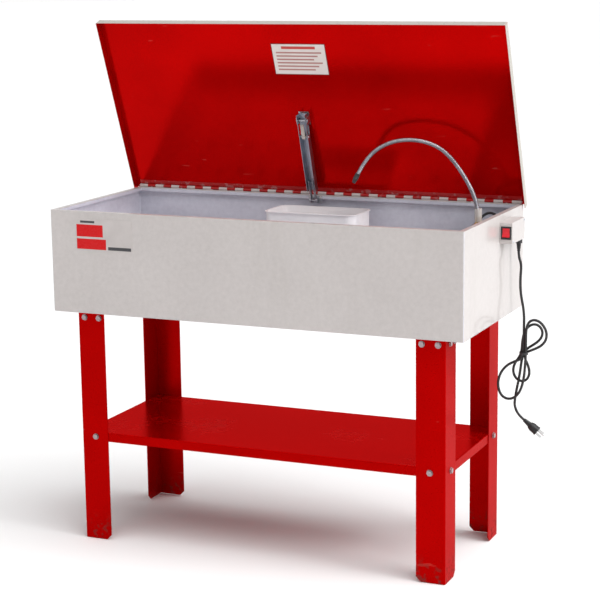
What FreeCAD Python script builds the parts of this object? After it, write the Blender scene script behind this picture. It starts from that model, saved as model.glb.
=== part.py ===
import FreeCAD, Part
import math
import os
from FreeCAD import Vector

# Parts washer tank: a sheet steel tank on four angle legs with a storage shelf,
# a hinged lid held by a slotted stay, a pump with a gooseneck spout, a parts
# tray on a work shelf, and a switch box with its mains lead.
# Millimetres, +Z up. The pieces are built around the tank's middle and then set
# so that the origin lies on the floor under the middle of the washer's footprint.

# ---- driving dimensions ------------------------------------------------------
TANK_LENGTH = 1180.0
TANK_WIDTH = 505.0
TANK_HEIGHT = 280.0
LEG_HEIGHT = 650.0
SHEET = 1.5
TANK_CORNER = 4.0
RIM_WIDTH = 14.0
RIM_LIP = 10.0

LEG_FLANGE = 80.0
LEG_SHEET = 2.5
LEG_INSET_X = 58.0
LEG_INSET_Y = 30.5
LEG_FOOT_CUT = 13.0
LEG_BOLT_FRONT = (20.0, 64.0)
LEG_BOLT_SIDE = (33.0, 67.0)
LEG_BOLT_DROP = 18.0

BRACKET_FLANGE = 74.0
BRACKET_HEIGHT = 36.0
BRACKET_SHEET = 3.0

SHELF_TOP = 308.0
SHELF_LIP = 25.0
SHELF_BOLT_FROM_CORNER = 42.0

BOLT_R = 4.0
BOLT_HEAD_R = 7.5
BOLT_HEAD_H = 5.0
NUT_H = 6.5
BOLT_TAIL = 3.0

LID_OVERHANG = 9.0
LID_REACH = 526.0
LID_EDGE = 23.0
LID_TAIL = 8.3
LID_LEAN = 21.5
LID_CORNER = 3.0

PIN_R = 2.0
KNUCKLE_R = 4.5
KNUCKLE_PITCH = 26.0
KNUCKLE_GAP = 0.3
KNUCKLE_COUNT = 45
PIN_CLEARANCE = 0.06
LEAF_SHEET = 1.2
LEAF_WIDTH = 16.0
PIN_BACK = 2.5
PIN_RISE = 5.0
RIVET_R = 2.0
RIVET_HEAD_R = 3.8
RIVET_HEAD_H = 1.2
RIVET_COUNT = 12

STAY_X = -16.0
STAY_ON_LID = 235.0
STAY_PIN_DEPTH = 12.5
STAY_FOOT_BACK = 24.0
STAY_FOOT_DROP = 18.0
STAY_WIDTH = 26.0
STAY_HALF_DEPTH = 9.5
STAY_SHEET = 1.5
STAY_PAST_LID_PIN = 27.0
STAY_START = 30.0
STAY_LINK_WIDTH = 14.0
STAY_LINK_END = 62.0
STAY_PIN_R = 3.0
STAY_PLAY = 3.8
STAY_SLOT_BEFORE_PIN = 28.0

LEDGE = 15.0
WORK_SHELF_TOP = 183.0
WORK_SHELF_LIP = 12.0
WORK_SHELF_GAP = 2.0
WORK_SHELF_LENGTH = 960.0
DRAIN_HOLE_R = 8.0

TRAY_LENGTH = 268.0
TRAY_WIDTH = 134.0
TRAY_HEIGHT = 72.7
TRAY_CORNER = 24.0
TRAY_RIM = 4.0
TRAY_X = 39.0
TRAY_Y = 123.0
REST_GAP = 0.3

PUMP_X = 480.0
PUMP_Y = 125.0
PUMP_R = 42.0
PUMP_BASE_R = 48.0
PUMP_BASE_H = 26.0
PUMP_BODY_H = 82.0
PUMP_CAP_H = 12.0
PUMP_WALL = 3.0
OUTLET_REACH = 54.0
OUTLET_R = 7.0
ROTOR_R = 21.0
IMPELLER_R = 30.0

SPOUT_X = 503.0
SPOUT_Y = 125.0
SPOUT_DROP = 50.0
SPOUT_R = 6.0
JOURNAL_R = 7.0
COLLAR_R = 14.0
COLLAR_WIDTH = 17.0
HOSE_OUTER_R = 10.0
BRACKET_PLATE = 3.0

BOX_LENGTH = 110.0
BOX_FRONT_Y = 36.0
BOX_DEPTH = 33.0
BOX_HEIGHT = 57.0
BOX_TOP_DROP = 18.0
BOX_SHEET = 2.0
COVER_SHEET = 2.0

CORD_R = 3.5
GLAND_OUT = 23.0
GLAND_Y = 134.0

LABEL_LENGTH = 160.0
LABEL_HEIGHT = 92.0
LABEL_ON_LID = 413.0
LABEL_SHEET = 0.6
BADGE_LENGTH = 172.0
BADGE_HEIGHT = 84.0
BADGE_SHEET = 0.6
BADGE_X = -425.0
BADGE_DROP = 62.0

# ---- smaller driving dimensions ------------------------------------------------
PAST = 1.0
TOUCH = 0.01
MOUTH_CORNER = 3.0
RIVET_END_INSET = 45.0
LEAF_RIVET_BACK = 10.0
TANK_RIVET_BACK = 7.0
DRAIN_R = 13.0
DRAIN_WALL = 4.0
DRAIN_SOCKET_R = 20.0
DRAIN_SOCKET_H = 26.0
GASKET_H = 1.7
GASKET_GAP = 0.3
PLUG_FLANGE_H = 4.0
PLUG_HEX_R = 16.0
PLUG_HEX_H = 12.0
PLUG_STEM_H = 20.0
PLUG_DIP_R = 8.0
PLUG_DIP_DEPTH = 6.0

BRACKET_NOSE = 22.0
SHELF_EDGE_R = 2.5
PIN_OVERRUN = 2.0
PIN_END_LIP = 0.9
PIN_END_LENGTH = 1.2
WASHER_LIP = 1.0
WASHER_H = 1.2

LID_BRACKET_SHEET = 2.0
LID_BRACKET_PLAY = 0.5
LID_BRACKET_REACH = 20.0
LID_BRACKET_STEP = 14.0
LID_EAR_HALF = 11.0
LID_EAR_BELOW_PIN = 7.0
PIN_HEAD_LIP = 1.8
FOOT_EAR = 2.0
FOOT_EAR_R = 7.0
FOOT_PLATE_HALF = 20.0
FOOT_PLATE_DROP = 9.0
STAY_RIVET_DROP = 5.0
STAY_RIVET_OUT = 15.0
STAY_SLOT_PLAY = 0.3
STAY_RIVET_UP = (42.0, 54.0)
STAY_CROSS_FORWARD = 2.0
LINK_RIVET_UP = 196.0
LINK_NOSE_R = 6.0
FUSE_HALF = 5.0
FUSE_SHEET = 1.4
FUSE_CURL_R = 4.2
FUSE_SET_BACK = 0.6
FUSE_TOP_DROP = 8.0

LEDGE_SHEET = 2.0
WORK_SHELF_END_GAP = 4.0
DRAIN_COLUMNS = 14
DRAIN_ROWS = 5
DRAIN_MARGIN = 40.0
TRAY_BASE_R = 4.0
TRAY_FLOOR_R = 2.5

SHAFT_R = 3.0
PUMP_OUTLET_HALF = 9.0
PUMP_OUTLET_LOW = 10.0
PUMP_OUTLET_HIGH = 28.0
PUMP_RISER_TOP = 50.0
PUMP_BARB_TOP = 84.0
PUMP_FLOOR = 12.0
PUMP_DUCT_R = 4.5
PUMP_SLOTS = 12
PUMP_SLOT_HALF = 3.0
PUMP_SLOT_LOW = 5.0
PUMP_SLOT_HIGH = 15.0
IMPELLER_CLEARANCE = 4.0
IMPELLER_LIFT = 6.0
IMPELLER_DISC = 2.0
IMPELLER_HUB_R = 8.0
IMPELLER_HUB_H = 15.0
VANE_COUNT = 6
VANE_H = 12.0
STATOR_FROM_BASE = 16.0
STATOR_FROM_CAP = 6.0
ROTOR_CLEARANCE = 1.0
ROTOR_FROM_BASE = 20.0
ROTOR_FROM_CAP = 12.0
CAP_EDGE_R = 5.0
CAP_SPIGOT_H = 4.0
CAP_SCREW_RING = 31.0
CAP_SCREW_R = 2.0
CAP_SCREW_DEEP = 3.0

MANIFOLD_HALF = 12.0
MANIFOLD_DUCT_R = 4.0
MANIFOLD_EDGE_R = 1.5
MANIFOLD_GAP = 2.0
MANIFOLD_PAST_OUTLET = 13.0
JOURNAL_END = 3.0
SPOUT_BRACKET_HALF = 20.0
SPOUT_BRACKET_DOWN = 40.0
BARB_DROP = 40.0
HOSE_FROM_BASE = 56.0
HOSE_TOP_DROP = 22.0
CLAMP_LIP = 1.2
CLAMP_WIDTH = 9.0
CLAMP_EAR_HALF = 4.0
CLAMP_EAR_OUT = 7.0
CLAMP_LOW_RISE = 4.0
CLAMP_TOP_DROP = 36.0
SOCKET_R = 8.4
SOCKET_TOP = 30.0
SOCKET_SEAT = 16.0
SLEEVE_FROM = 17.0
SLEEVE_TO = 52.0
SLEEVE_WALL = 1.6
NOZZLE_LIP = 1.5
NOZZLE_HALF_LENGTH = 14.0
NOZZLE_BORE_R = 3.0
LEAD_R = 3.5
SCREW_HEAD_LIP = 1.6
SCREW_HEAD_H = 2.0
SCREW_SLOT_HALF = 0.6
SPOUT_SCREW_R = 11.0
SPOUT_SCREW_HEAD = 3.0
SPOUT_SCREW_DEEP = 5.0

BOX_CORNER = 4.0
BOX_INNER_CORNER = 2.0
COVER_EDGE_R = 1.2
COVER_POST_R = 4.5
COVER_SCREW_R = 1.6
COVER_SCREW_INSET = 6.0
COVER_SCREW_DEEP = 10.0
BOX_SCREW_R = 2.0
BOX_SCREW_DROP = 16.0
BOX_SCREW_INSET = 24.0
BOX_SCREW_TAIL = 4.0
BOX_LUG_HALF = 7.0
BOX_NUT_R = 4.4
BOX_NUT_H = 3.0
SWITCH_OUT = 18.0
SWITCH_DROP = 28.0
BEZEL_HALF_X = 14.0
BEZEL_HALF_Z = 17.0
BEZEL_FLANGE = 2.0
BEZEL_BODY_DEPTH = 15.0
BEZEL_WELL_DEPTH = 10.0
CUTOUT_HALF_X = 11.0
CUTOUT_HALF_Z = 14.0
ROCKER_HALF_X = 9.6
ROCKER_HALF_Z = 12.4
ROCKER_PIVOT_BACK = 3.0
ROCKER_TILT = 9.0
ROCKER_PLAY_X = 0.4
ROCKER_PLAY_Z = 0.8
ROCKER_PROUD = 3.5
ROCKER_SADDLE = 1.9
ROCKER_END_TAPER = 0.6
ROCKER_SIDE_DEPTH = 2.5
ROCKER_DEPTH = 5.5
ROCKER_FOOT_HALF = 4.0
ROCKER_EDGE_R = 0.6
GROMMET_Y = 90.0
GROMMET_DROP = 27.0
GROMMET_R = 5.5
GROMMET_LIP = 2.0
GLAND_R = 6.0
GLAND_NUT_R = 9.5
GLAND_NUT_H = 12.0
RELIEF_R = 6.5
RELIEF_LENGTH = 20.0

HANK_Y0 = 133.0
HANK_Y1 = 161.0
WAIST_R = 10.0
WAIST_LOW = 520.0
HANK_UPPER = (649.0, 592.0, 32.0, 46.0)
HANK_LOWER = (578.0, 474.0, 38.0, 60.0)
HANK_SMALL = (604.0, 498.0, 26.0, 40.0)
HANK_TAIL_RUN = 30.0
HANK_TAIL_LIP = 0.8
TIE_Z = 538.5
TIE_HEIGHT = 7.0
TIE_LIP = 1.8
TIE_TWIST_OUT = 9.0
TIE_TWIST_HALF = 2.5
PLUG_NECK_R = 7.5
PLUG_SHOULDER_R = 8.5
PLUG_R = 13.0
PLUG_NECK_END = 22.0
PLUG_SHOULDER = 20.0
PLUG_BODY_START = 34.0
PLUG_FACE = 48.0
PRONG_WIDTH = 6.3
PRONG_SHEET = 1.5
PRONG_LENGTH = 17.0
PRONG_HALF_SPACING = 6.35
EARTH_R = 2.4
EARTH_LENGTH = 20.0
EARTH_OUT = 8.0

# ---- places that follow from them --------------------------------------------
HALF_X = TANK_LENGTH / 2
HALF_Y = TANK_WIDTH / 2
TANK_TOP = LEG_HEIGHT + TANK_HEIGHT
FLOOR_TOP = LEG_HEIGHT + SHEET
LEG_X = HALF_X - LEG_INSET_X
LEG_Y = HALF_Y - LEG_INSET_Y
PIN_Y = HALF_Y - PIN_BACK
PIN_Z = TANK_TOP + PIN_RISE
LID_INNER = PIN_RISE
LID_OUTER = LID_INNER + SHEET
LID_SWING = 90.0 - LID_LEAN
BOX_TOP = TANK_TOP - BOX_TOP_DROP
BOX_BOTTOM = BOX_TOP - BOX_HEIGHT
BOX_BACK_Y = BOX_FRONT_Y + BOX_LENGTH
WORK_Z = LEG_HEIGHT + WORK_SHELF_TOP

LEAN = math.radians(LID_LEAN)
LEFT_REACH = HALF_X + LID_OVERHANG
RIGHT_REACH = HALF_X + BOX_DEPTH + COVER_SHEET + SCREW_HEAD_H
FRONT_REACH = HALF_Y + BADGE_SHEET
REAR_REACH = PIN_Y + LID_OUTER * math.cos(LEAN) + LID_TAIL * math.sin(LEAN)
SHIFT = Vector((LEFT_REACH - RIGHT_REACH) / 2, (FRONT_REACH - REAR_REACH) / 2, 0)

STAY_RIVET_Z = TANK_TOP - STAY_RIVET_DROP
STAY_TOP = STAY_ON_LID + STAY_PAST_LID_PIN
STAY_SLOT_START = STAY_ON_LID - STAY_SLOT_BEFORE_PIN
STAY_RIVET_XS = (STAY_X - STAY_RIVET_OUT, STAY_X + STAY_RIVET_OUT)
STAY_SLOT_HALF = STAY_PIN_R + STAY_PLAY + STAY_SLOT_PLAY
LID_BRACKET_HALF = STAY_WIDTH / 2 + LID_BRACKET_PLAY
FOOT_EAR_HALF = STAY_LINK_WIDTH / 2 + LID_BRACKET_PLAY
TANK_LEAF_REACH = RIM_WIDTH - PIN_BACK

WORK_LEFT = -HALF_X + SHEET + WORK_SHELF_END_GAP
WORK_RIGHT = WORK_LEFT + WORK_SHELF_LENGTH

PUMP_FOOT_Z = FLOOR_TOP
PUMP_BODY_Z = PUMP_FOOT_Z + PUMP_BASE_H
PUMP_CAP_Z = PUMP_BODY_Z + PUMP_BODY_H
PUMP_TOP_Z = PUMP_CAP_Z + PUMP_CAP_H
OUTLET_X = PUMP_X + OUTLET_REACH
SPOUT_Z = TANK_TOP - SPOUT_DROP
MANIFOLD_X0 = SPOUT_X + COLLAR_WIDTH / 2 + MANIFOLD_GAP
MANIFOLD_X1 = OUTLET_X + MANIFOLD_PAST_OUTLET
JOURNAL_X = SPOUT_X - COLLAR_WIDTH / 2 - JOURNAL_END
BARB_LOW = SPOUT_Z - BARB_DROP
HOSE_LOW = PUMP_BODY_Z + HOSE_FROM_BASE
HOSE_HIGH = SPOUT_Z - HOSE_TOP_DROP
SLEEVE_LOW = SPOUT_Z + SLEEVE_FROM
SLEEVE_HIGH = SPOUT_Z + SLEEVE_TO

BOX_X0 = HALF_X
BOX_X1 = HALF_X + BOX_DEPTH
BOX_SCREW_Z = BOX_TOP - BOX_SCREW_DROP
BOX_SCREW_YS = (BOX_FRONT_Y + BOX_SCREW_INSET, BOX_BACK_Y - BOX_SCREW_INSET)
COVER_SCREWS = ((BOX_FRONT_Y + COVER_SCREW_INSET, BOX_BOTTOM + COVER_SCREW_INSET),
                (BOX_BACK_Y - COVER_SCREW_INSET, BOX_TOP - COVER_SCREW_INSET))
SWITCH_X = HALF_X + SWITCH_OUT
SWITCH_Z = BOX_TOP - SWITCH_DROP
ROCKER_PIVOT_Y = BOX_FRONT_Y + ROCKER_PIVOT_BACK
GROMMET_Z = BOX_TOP - GROMMET_DROP
GLAND_X = HALF_X + GLAND_OUT
BADGE_Z = TANK_TOP - BADGE_DROP
GLAND_LOW = BOX_BOTTOM - GLAND_NUT_H
RELIEF_LOW = GLAND_LOW - RELIEF_LENGTH

X = Vector(1, 0, 0)
Y = Vector(0, 1, 0)
Z = Vector(0, 0, 1)
LEAD_START = Vector(PUMP_X - 10, PUMP_Y + 24, PUMP_TOP_Z + 12)

NODES = {}


# ---- small tools ---------------------------------------------------------------
def keep(node, shape, cord=False):
    """Stores a node, moved from the tank's middle to the washer's origin."""
    solid = shape.copy()
    if not cord:
        solid.translate(SHIFT)
    NODES[node] = solid


def block(x0, x1, y0, y1, z0, z1):
    return Part.makeBox(x1 - x0, y1 - y0, z1 - z0, Vector(x0, y0, z0))


def rod(radius, start, end):
    along = end.sub(start)
    return Part.makeCylinder(radius, along.Length, start, along)


def cone(r0, r1, start, end):
    along = end.sub(start)
    return Part.makeCone(r0, r1, along.Length, start, along)


def joined(shapes):
    return shapes[0].multiFuse(shapes[1:]).removeSplitter()


def group(shapes):
    return Part.makeCompound(shapes)


def hexagon(radius, height, start, axis):
    """A hexagonal prism whose corners lie on the radius."""
    points = []
    for i in range(7):
        angle = math.radians(60 * i)
        points.append(Vector(radius * math.cos(angle), radius * math.sin(angle), 0))
    solid = Part.Face(Part.makePolygon(points)).extrude(Vector(0, 0, height))
    solid.Placement = FreeCAD.Placement(start, FreeCAD.Rotation(Z, axis))
    return solid


def upright_edges(shape):
    found = []
    for edge in shape.Edges:
        run = edge.Vertexes[-1].Point.sub(edge.Vertexes[0].Point)
        if abs(run.x) < TOUCH and abs(run.y) < TOUCH and abs(run.z) > TOUCH:
            found.append(edge)
    return found


def rounded_block(x0, x1, y0, y1, z0, z1, radius):
    """A block with its upright edges rounded."""
    solid = block(x0, x1, y0, y1, z0, z1)
    return solid.makeFillet(radius, upright_edges(solid))


def bolt(point, axis, grip):
    """A hexagon bolt: its head's bearing face is at the point, axis into the work."""
    head = hexagon(BOLT_HEAD_R, BOLT_HEAD_H, point.sub(axis * BOLT_HEAD_H), axis)
    washer = rod(BOLT_HEAD_R + WASHER_LIP, point.sub(axis * WASHER_H), point)
    shank = rod(BOLT_R, point, point.add(axis * (grip + NUT_H + BOLT_TAIL)))
    return joined([head, washer, shank])


def nut(point, axis):
    """A nut whose bearing face is at the point, axis away from the work."""
    body = hexagon(BOLT_HEAD_R, NUT_H, point, axis)
    return body.cut(rod(BOLT_R, point.sub(axis), point.add(axis * (NUT_H + 1))))


def rivet(point, axis, grip):
    """A dome rivet through a grip, its head's bearing face at the point."""
    head = cone(RIVET_HEAD_R, RIVET_HEAD_R * 0.55, point, point.sub(axis * RIVET_HEAD_H))
    shank = rod(RIVET_R, point, point.add(axis * grip))
    far = point.add(axis * grip)
    tail = cone(RIVET_HEAD_R * 0.8, RIVET_HEAD_R * 0.5, far, far.add(axis * RIVET_HEAD_H))
    return joined([head, shank, tail])


def open_lid(shape):
    """Swings a piece of the closed lid, built about the hinge line, to the open rest."""
    turned = shape.copy()
    turned.translate(Vector(0, PIN_Y, PIN_Z))
    turned.rotate(Vector(0, PIN_Y, PIN_Z), X, -LID_SWING)
    return turned


# ---- tank ------------------------------------------------------------------------
def rivet_xs():
    """Places along the hinge of the rivets in each leaf."""
    span = TANK_LENGTH - 2 * RIVET_END_INSET
    return [-span / 2 + span * i / (RIVET_COUNT - 1) for i in range(RIVET_COUNT)]


def tank_shell():
    outer = rounded_block(-HALF_X, HALF_X, -HALF_Y, HALF_Y, LEG_HEIGHT, TANK_TOP, TANK_CORNER)
    floor_edges = [e for e in outer.Edges if e.BoundBox.ZMax < LEG_HEIGHT + TOUCH]
    outer = outer.makeFillet(TANK_CORNER - 1.0, floor_edges)
    ix = HALF_X - SHEET
    iy = HALF_Y - SHEET
    inner = rounded_block(-ix, ix, -iy, iy, FLOOR_TOP, TANK_TOP - SHEET, TANK_CORNER - SHEET)
    mx = HALF_X - RIM_WIDTH
    my = HALF_Y - RIM_WIDTH
    mouth = rounded_block(-mx, mx, -my, my, TANK_TOP - RIM_LIP, TANK_TOP + PAST, MOUTH_CORNER)
    lip = rounded_block(-mx - SHEET, mx + SHEET, -my - SHEET, my + SHEET,
                        TANK_TOP - RIM_LIP, TANK_TOP - SHEET / 2, MOUTH_CORNER + SHEET)
    return outer.cut(inner).fuse(lip).cut(mouth).cut(group(tank_holes())).removeSplitter()


def tank_holes():
    """The drain, the lead's hole, the switch box's screws and the rivets of hinge and stay."""
    drain = rod(DRAIN_R + DRAIN_WALL, Vector(0, 0, LEG_HEIGHT - PAST), Vector(0, 0, FLOOR_TOP + PAST))
    holes = [drain, end_wall_hole(GROMMET_R, GROMMET_Y, GROMMET_Z)]
    for y in BOX_SCREW_YS:
        holes.append(end_wall_hole(BOX_SCREW_R, y, BOX_SCREW_Z))
    for x in rivet_xs():
        top = Vector(x, PIN_Y - TANK_RIVET_BACK, TANK_TOP + PAST)
        holes.append(rod(RIVET_R, top, top.sub(Z * (SHEET + 2 * PAST))))
    rim = HALF_Y - RIM_WIDTH
    for x in STAY_RIVET_XS:
        start = Vector(x, rim - PAST, STAY_RIVET_Z)
        holes.append(rod(RIVET_R, start, start.add(Y * (SHEET + 2 * PAST))))
    return holes


def end_wall_hole(radius, y, z):
    """A drill through the right-hand end wall."""
    return rod(radius, Vector(HALF_X - SHEET - PAST, y, z), Vector(HALF_X + PAST, y, z))


def leg_corner(side_x, side_y):
    return Vector(side_x * LEG_X, side_y * LEG_Y, 0)


def foot_cut(x0, x1, z0, z1):
    """A triangle in x and z that takes a corner off a flange."""
    points = [Vector(x0, 0, z0), Vector(x1, 0, z0), Vector(x0, 0, z1), Vector(x0, 0, z0)]
    return Part.Face(Part.makePolygon(points))


def leg_holes():
    """Bolt holes of a leg and of what bolts to it, in the front left corner's frame."""
    holes = []
    deep = LEG_SHEET + BRACKET_SHEET + PAST
    z = LEG_HEIGHT - LEG_BOLT_DROP
    for d in LEG_BOLT_FRONT:
        holes.append(rod(BOLT_R, Vector(d, -PAST, z), Vector(d, deep, z)))
    for d in LEG_BOLT_SIDE:
        holes.append(rod(BOLT_R, Vector(-PAST, d, z), Vector(deep, d, z)))
    z = SHELF_TOP - SHELF_LIP / 2
    d = SHELF_BOLT_FROM_CORNER
    holes.append(rod(BOLT_R, Vector(d, -PAST, z), Vector(d, deep, z)))
    holes.append(rod(BOLT_R, Vector(-PAST, d, z), Vector(deep, d, z)))
    return group(holes)


def leg():
    """The front left leg, its outer corner on the Z axis."""
    front = block(0, LEG_FLANGE, 0, LEG_SHEET, 0, LEG_HEIGHT)
    side = block(0, LEG_SHEET, 0, LEG_FLANGE, 0, LEG_HEIGHT)
    angle = front.fuse(side).removeSplitter()
    corner = [e for e in upright_edges(angle) if e.BoundBox.XMax < TOUCH and e.BoundBox.YMax < TOUCH]
    angle = angle.makeFillet(LEG_SHEET, corner)
    far = LEG_FLANGE
    cut_front = foot_cut(far, far - LEG_FOOT_CUT, 0, LEG_FOOT_CUT).extrude(Vector(0, LEG_SHEET, 0))
    cut_side = cut_front.copy()
    cut_side.rotate(Vector(0, 0, 0), Z, 90)
    cut_side.translate(Vector(LEG_SHEET, 0, 0))
    return angle.cut(group([cut_front, cut_side])).cut(leg_holes())


def leg_bracket():
    """The angle bracket under the tank that a leg bolts to, in the leg's frame."""
    a = LEG_SHEET
    b = a + BRACKET_FLANGE
    low = LEG_HEIGHT - BRACKET_HEIGHT
    front = block(a, b, a, a + BRACKET_SHEET, low, LEG_HEIGHT)
    side = block(a, a + BRACKET_SHEET, a, b, low, LEG_HEIGHT)
    top = block(a, b, a, b, LEG_HEIGHT - BRACKET_SHEET, LEG_HEIGHT)
    far = b + PAST
    near = a + BRACKET_NOSE
    points = [Vector(far, near, 0), Vector(far, far, 0), Vector(near, far, 0), Vector(far, near, 0)]
    off = Part.Face(Part.makePolygon(points)).extrude(Vector(0, 0, LEG_HEIGHT + PAST))
    return joined([front, side, top.cut(off)]).cut(leg_holes())


def leg_bolts_of(z, fronts, sides, grip):
    """Bolts and nuts of one leg at a height, in the leg's frame."""
    bolts = []
    nuts = []
    for d in fronts:
        bolts.append(bolt(Vector(d, 0, z), Y, grip))
        nuts.append(nut(Vector(d, grip, z), Y))
    for d in sides:
        bolts.append(bolt(Vector(0, d, z), X, grip))
        nuts.append(nut(Vector(grip, d, z), X))
    return bolts, nuts


def at_leg(shape, side_x, side_y):
    """Copies a piece of the front left leg to another corner."""
    placed = shape.copy()
    if side_x > 0:
        placed = placed.mirror(Vector(0, 0, 0), X)
    if side_y > 0:
        placed = placed.mirror(Vector(0, 0, 0), Y)
    placed.translate(leg_corner(side_x, side_y))
    return placed


def legs_and_fasteners():
    corners = {"front_left": (-1, -1), "front_right": (1, -1), "rear_left": (-1, 1), "rear_right": (1, 1)}
    one_leg = leg()
    one_bracket = leg_bracket()
    top_z = LEG_HEIGHT - LEG_BOLT_DROP
    tops, top_nuts = leg_bolts_of(top_z, LEG_BOLT_FRONT, LEG_BOLT_SIDE, LEG_SHEET + BRACKET_SHEET)
    low_z = SHELF_TOP - SHELF_LIP / 2
    d = (SHELF_BOLT_FROM_CORNER,)
    lows, low_nuts = leg_bolts_of(low_z, d, d, LEG_SHEET + SHEET)
    sets = {"leg_brackets": [one_bracket], "hex_bolts": tops + lows, "hex_nuts": top_nuts + low_nuts}
    for name, (sx, sy) in corners.items():
        keep("leg_" + name, at_leg(one_leg, sx, sy))
    for node, pieces in sets.items():
        placed = [at_leg(p, sx, sy) for (sx, sy) in corners.values() for p in pieces]
        keep(node, group(placed))


def storage_shelf():
    hx = LEG_X - LEG_SHEET
    hy = LEG_Y - LEG_SHEET
    outer = block(-hx, hx, -hy, hy, SHELF_TOP - SHELF_LIP, SHELF_TOP)
    top_edges = [e for e in outer.Edges if e.BoundBox.ZMin > SHELF_TOP - TOUCH]
    outer = outer.makeFillet(SHELF_EDGE_R, top_edges)
    inner = block(-hx + SHEET, hx - SHEET, -hy + SHEET, hy - SHEET,
                  SHELF_TOP - SHELF_LIP - PAST, SHELF_TOP - SHEET)
    pan = outer.cut(inner)
    holes = leg_holes()
    cuts = [at_leg(holes, sx, sy) for sx in (-1, 1) for sy in (-1, 1)]
    return pan.cut(group(cuts))


# ---- lid, about the hinge line, closed ---------------------------------------------
def lid_panel():
    half = HALF_X + LID_OVERHANG
    outer = block(-half, half, -LID_REACH, LID_TAIL, LID_OUTER - LID_EDGE, LID_OUTER)
    on_top = [e for e in outer.Edges if e.BoundBox.ZMin > LID_OUTER - TOUCH]
    soft = [e for e in on_top if e.BoundBox.YMin < LID_TAIL - TOUCH]
    soft += [e for e in upright_edges(outer) if e.BoundBox.YMax < 0]
    outer = outer.makeFillet(LID_CORNER, soft)
    inner = block(-half + SHEET, half - SHEET, -LID_REACH + SHEET, LID_TAIL + 1,
                  LID_OUTER - LID_EDGE - 1, LID_INNER)
    inner_edges = [e for e in upright_edges(inner) if e.BoundBox.YMax < 0]
    inner = inner.makeFillet(LID_CORNER - SHEET, inner_edges)
    pan = outer.cut(inner)
    holes = []
    for x in rivet_xs():
        under = Vector(x, -LEAF_RIVET_BACK, 0)
        holes.append(rod(RIVET_R, under, under.add(Z * (LID_OUTER + PAST))))
    for x, y in lid_bracket_rivets():
        holes.append(rod(RIVET_R, Vector(x, y, 0), Vector(x, y, LID_OUTER + PAST)))
    return pan.cut(group(holes))


def knuckle_spans(first):
    """Start and end of every second knuckle, from the first one named."""
    start = -KNUCKLE_COUNT * KNUCKLE_PITCH / 2
    spans = []
    for i in range(first, KNUCKLE_COUNT, 2):
        spans.append((start + i * KNUCKLE_PITCH + KNUCKLE_GAP / 2,
                      start + (i + 1) * KNUCKLE_PITCH - KNUCKLE_GAP / 2))
    return spans


def hinge_leaf(first, bore_r, low, high, reach, hole_back):
    """A leaf on the -Y side of the hinge line with its rolled knuckles."""
    length = KNUCKLE_COUNT * KNUCKLE_PITCH
    strip = block(-length / 2, length / 2, -reach, -KNUCKLE_R - KNUCKLE_GAP, low, high)
    parts = [strip]
    for x0, x1 in knuckle_spans(first):
        parts.append(rod(KNUCKLE_R, Vector(x0, 0, 0), Vector(x1, 0, 0)))
        parts.append(block(x0, x1, -KNUCKLE_R - KNUCKLE_GAP, 0, low, high))
    leaf = strip.multiFuse(parts[1:])
    cuts = [rod(bore_r, Vector(-length, 0, 0), Vector(length, 0, 0))]
    for x in rivet_xs():
        cuts.append(rod(RIVET_R, Vector(x, -hole_back, low - 1), Vector(x, -hole_back, high + 1)))
    return leaf.cut(group(cuts))


def at_hinge(shape):
    placed = shape.copy()
    placed.translate(Vector(0, PIN_Y, PIN_Z))
    return placed


def tank_leaf():
    leaf = hinge_leaf(0, PIN_R, -PIN_RISE, -PIN_RISE + LEAF_SHEET, TANK_LEAF_REACH, TANK_RIVET_BACK)
    return at_hinge(leaf)


def lid_leaf():
    return hinge_leaf(1, PIN_R + PIN_CLEARANCE, LID_INNER - LEAF_SHEET, LID_INNER,
                      LEAF_WIDTH, LEAF_RIVET_BACK)


def hinge_pin():
    half = KNUCKLE_COUNT * KNUCKLE_PITCH / 2 + PIN_OVERRUN
    pin = rod(PIN_R, Vector(-half, 0, 0), Vector(half, 0, 0))
    ends = []
    for s in (-1, 1):
        end = Vector(s * half, 0, 0)
        ends.append(rod(PIN_R + PIN_END_LIP, end, end.sub(X * (s * PIN_END_LENGTH))))
    return at_hinge(joined([pin] + ends))


def tank_leaf_rivets():
    top = -PIN_RISE + LEAF_SHEET
    places = [Vector(x, -TANK_RIVET_BACK, top) for x in rivet_xs()]
    return [at_hinge(rivet(place, Z * -1, LEAF_SHEET + SHEET)) for place in places]


def lid_leaf_rivets():
    low = LID_INNER - LEAF_SHEET
    return [rivet(Vector(x, -LEAF_RIVET_BACK, low), Z, LEAF_SHEET + SHEET) for x in rivet_xs()]


def lid_bracket_rivets():
    return [(STAY_X, -STAY_ON_LID + s * LID_BRACKET_STEP) for s in (-1, 1)]


def lid_bracket():
    """The bracket that holds the stay's pin under the lid."""
    t = LID_BRACKET_SHEET
    outside = LID_BRACKET_HALF + t
    y0 = -STAY_ON_LID - LID_BRACKET_REACH
    y1 = -STAY_ON_LID + LID_BRACKET_REACH
    ear_low = -STAY_PIN_DEPTH - LID_EAR_BELOW_PIN
    base = block(STAY_X - outside, STAY_X + outside, y0, y1, LID_INNER - t, LID_INNER)
    parts = [base]
    for s in (-1, 1):
        xa = STAY_X + s * LID_BRACKET_HALF
        xb = STAY_X + s * outside
        parts.append(block(min(xa, xb), max(xa, xb), -STAY_ON_LID - LID_EAR_HALF,
                           -STAY_ON_LID + LID_EAR_HALF, ear_low, LID_INNER))
    bracket = joined(parts)
    cuts = [across_stay(STAY_PIN_R, -STAY_ON_LID, -STAY_PIN_DEPTH)]
    for x, y in lid_bracket_rivets():
        cuts.append(rod(RIVET_R, Vector(x, y, 0), Vector(x, y, LID_INNER + 1)))
    return bracket.cut(group(cuts))


def across_stay(radius, y, z, half=STAY_WIDTH):
    """A rod along X that runs past both sides of the stay."""
    return rod(radius, Vector(STAY_X - half, y, z), Vector(STAY_X + half, y, z))


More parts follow.
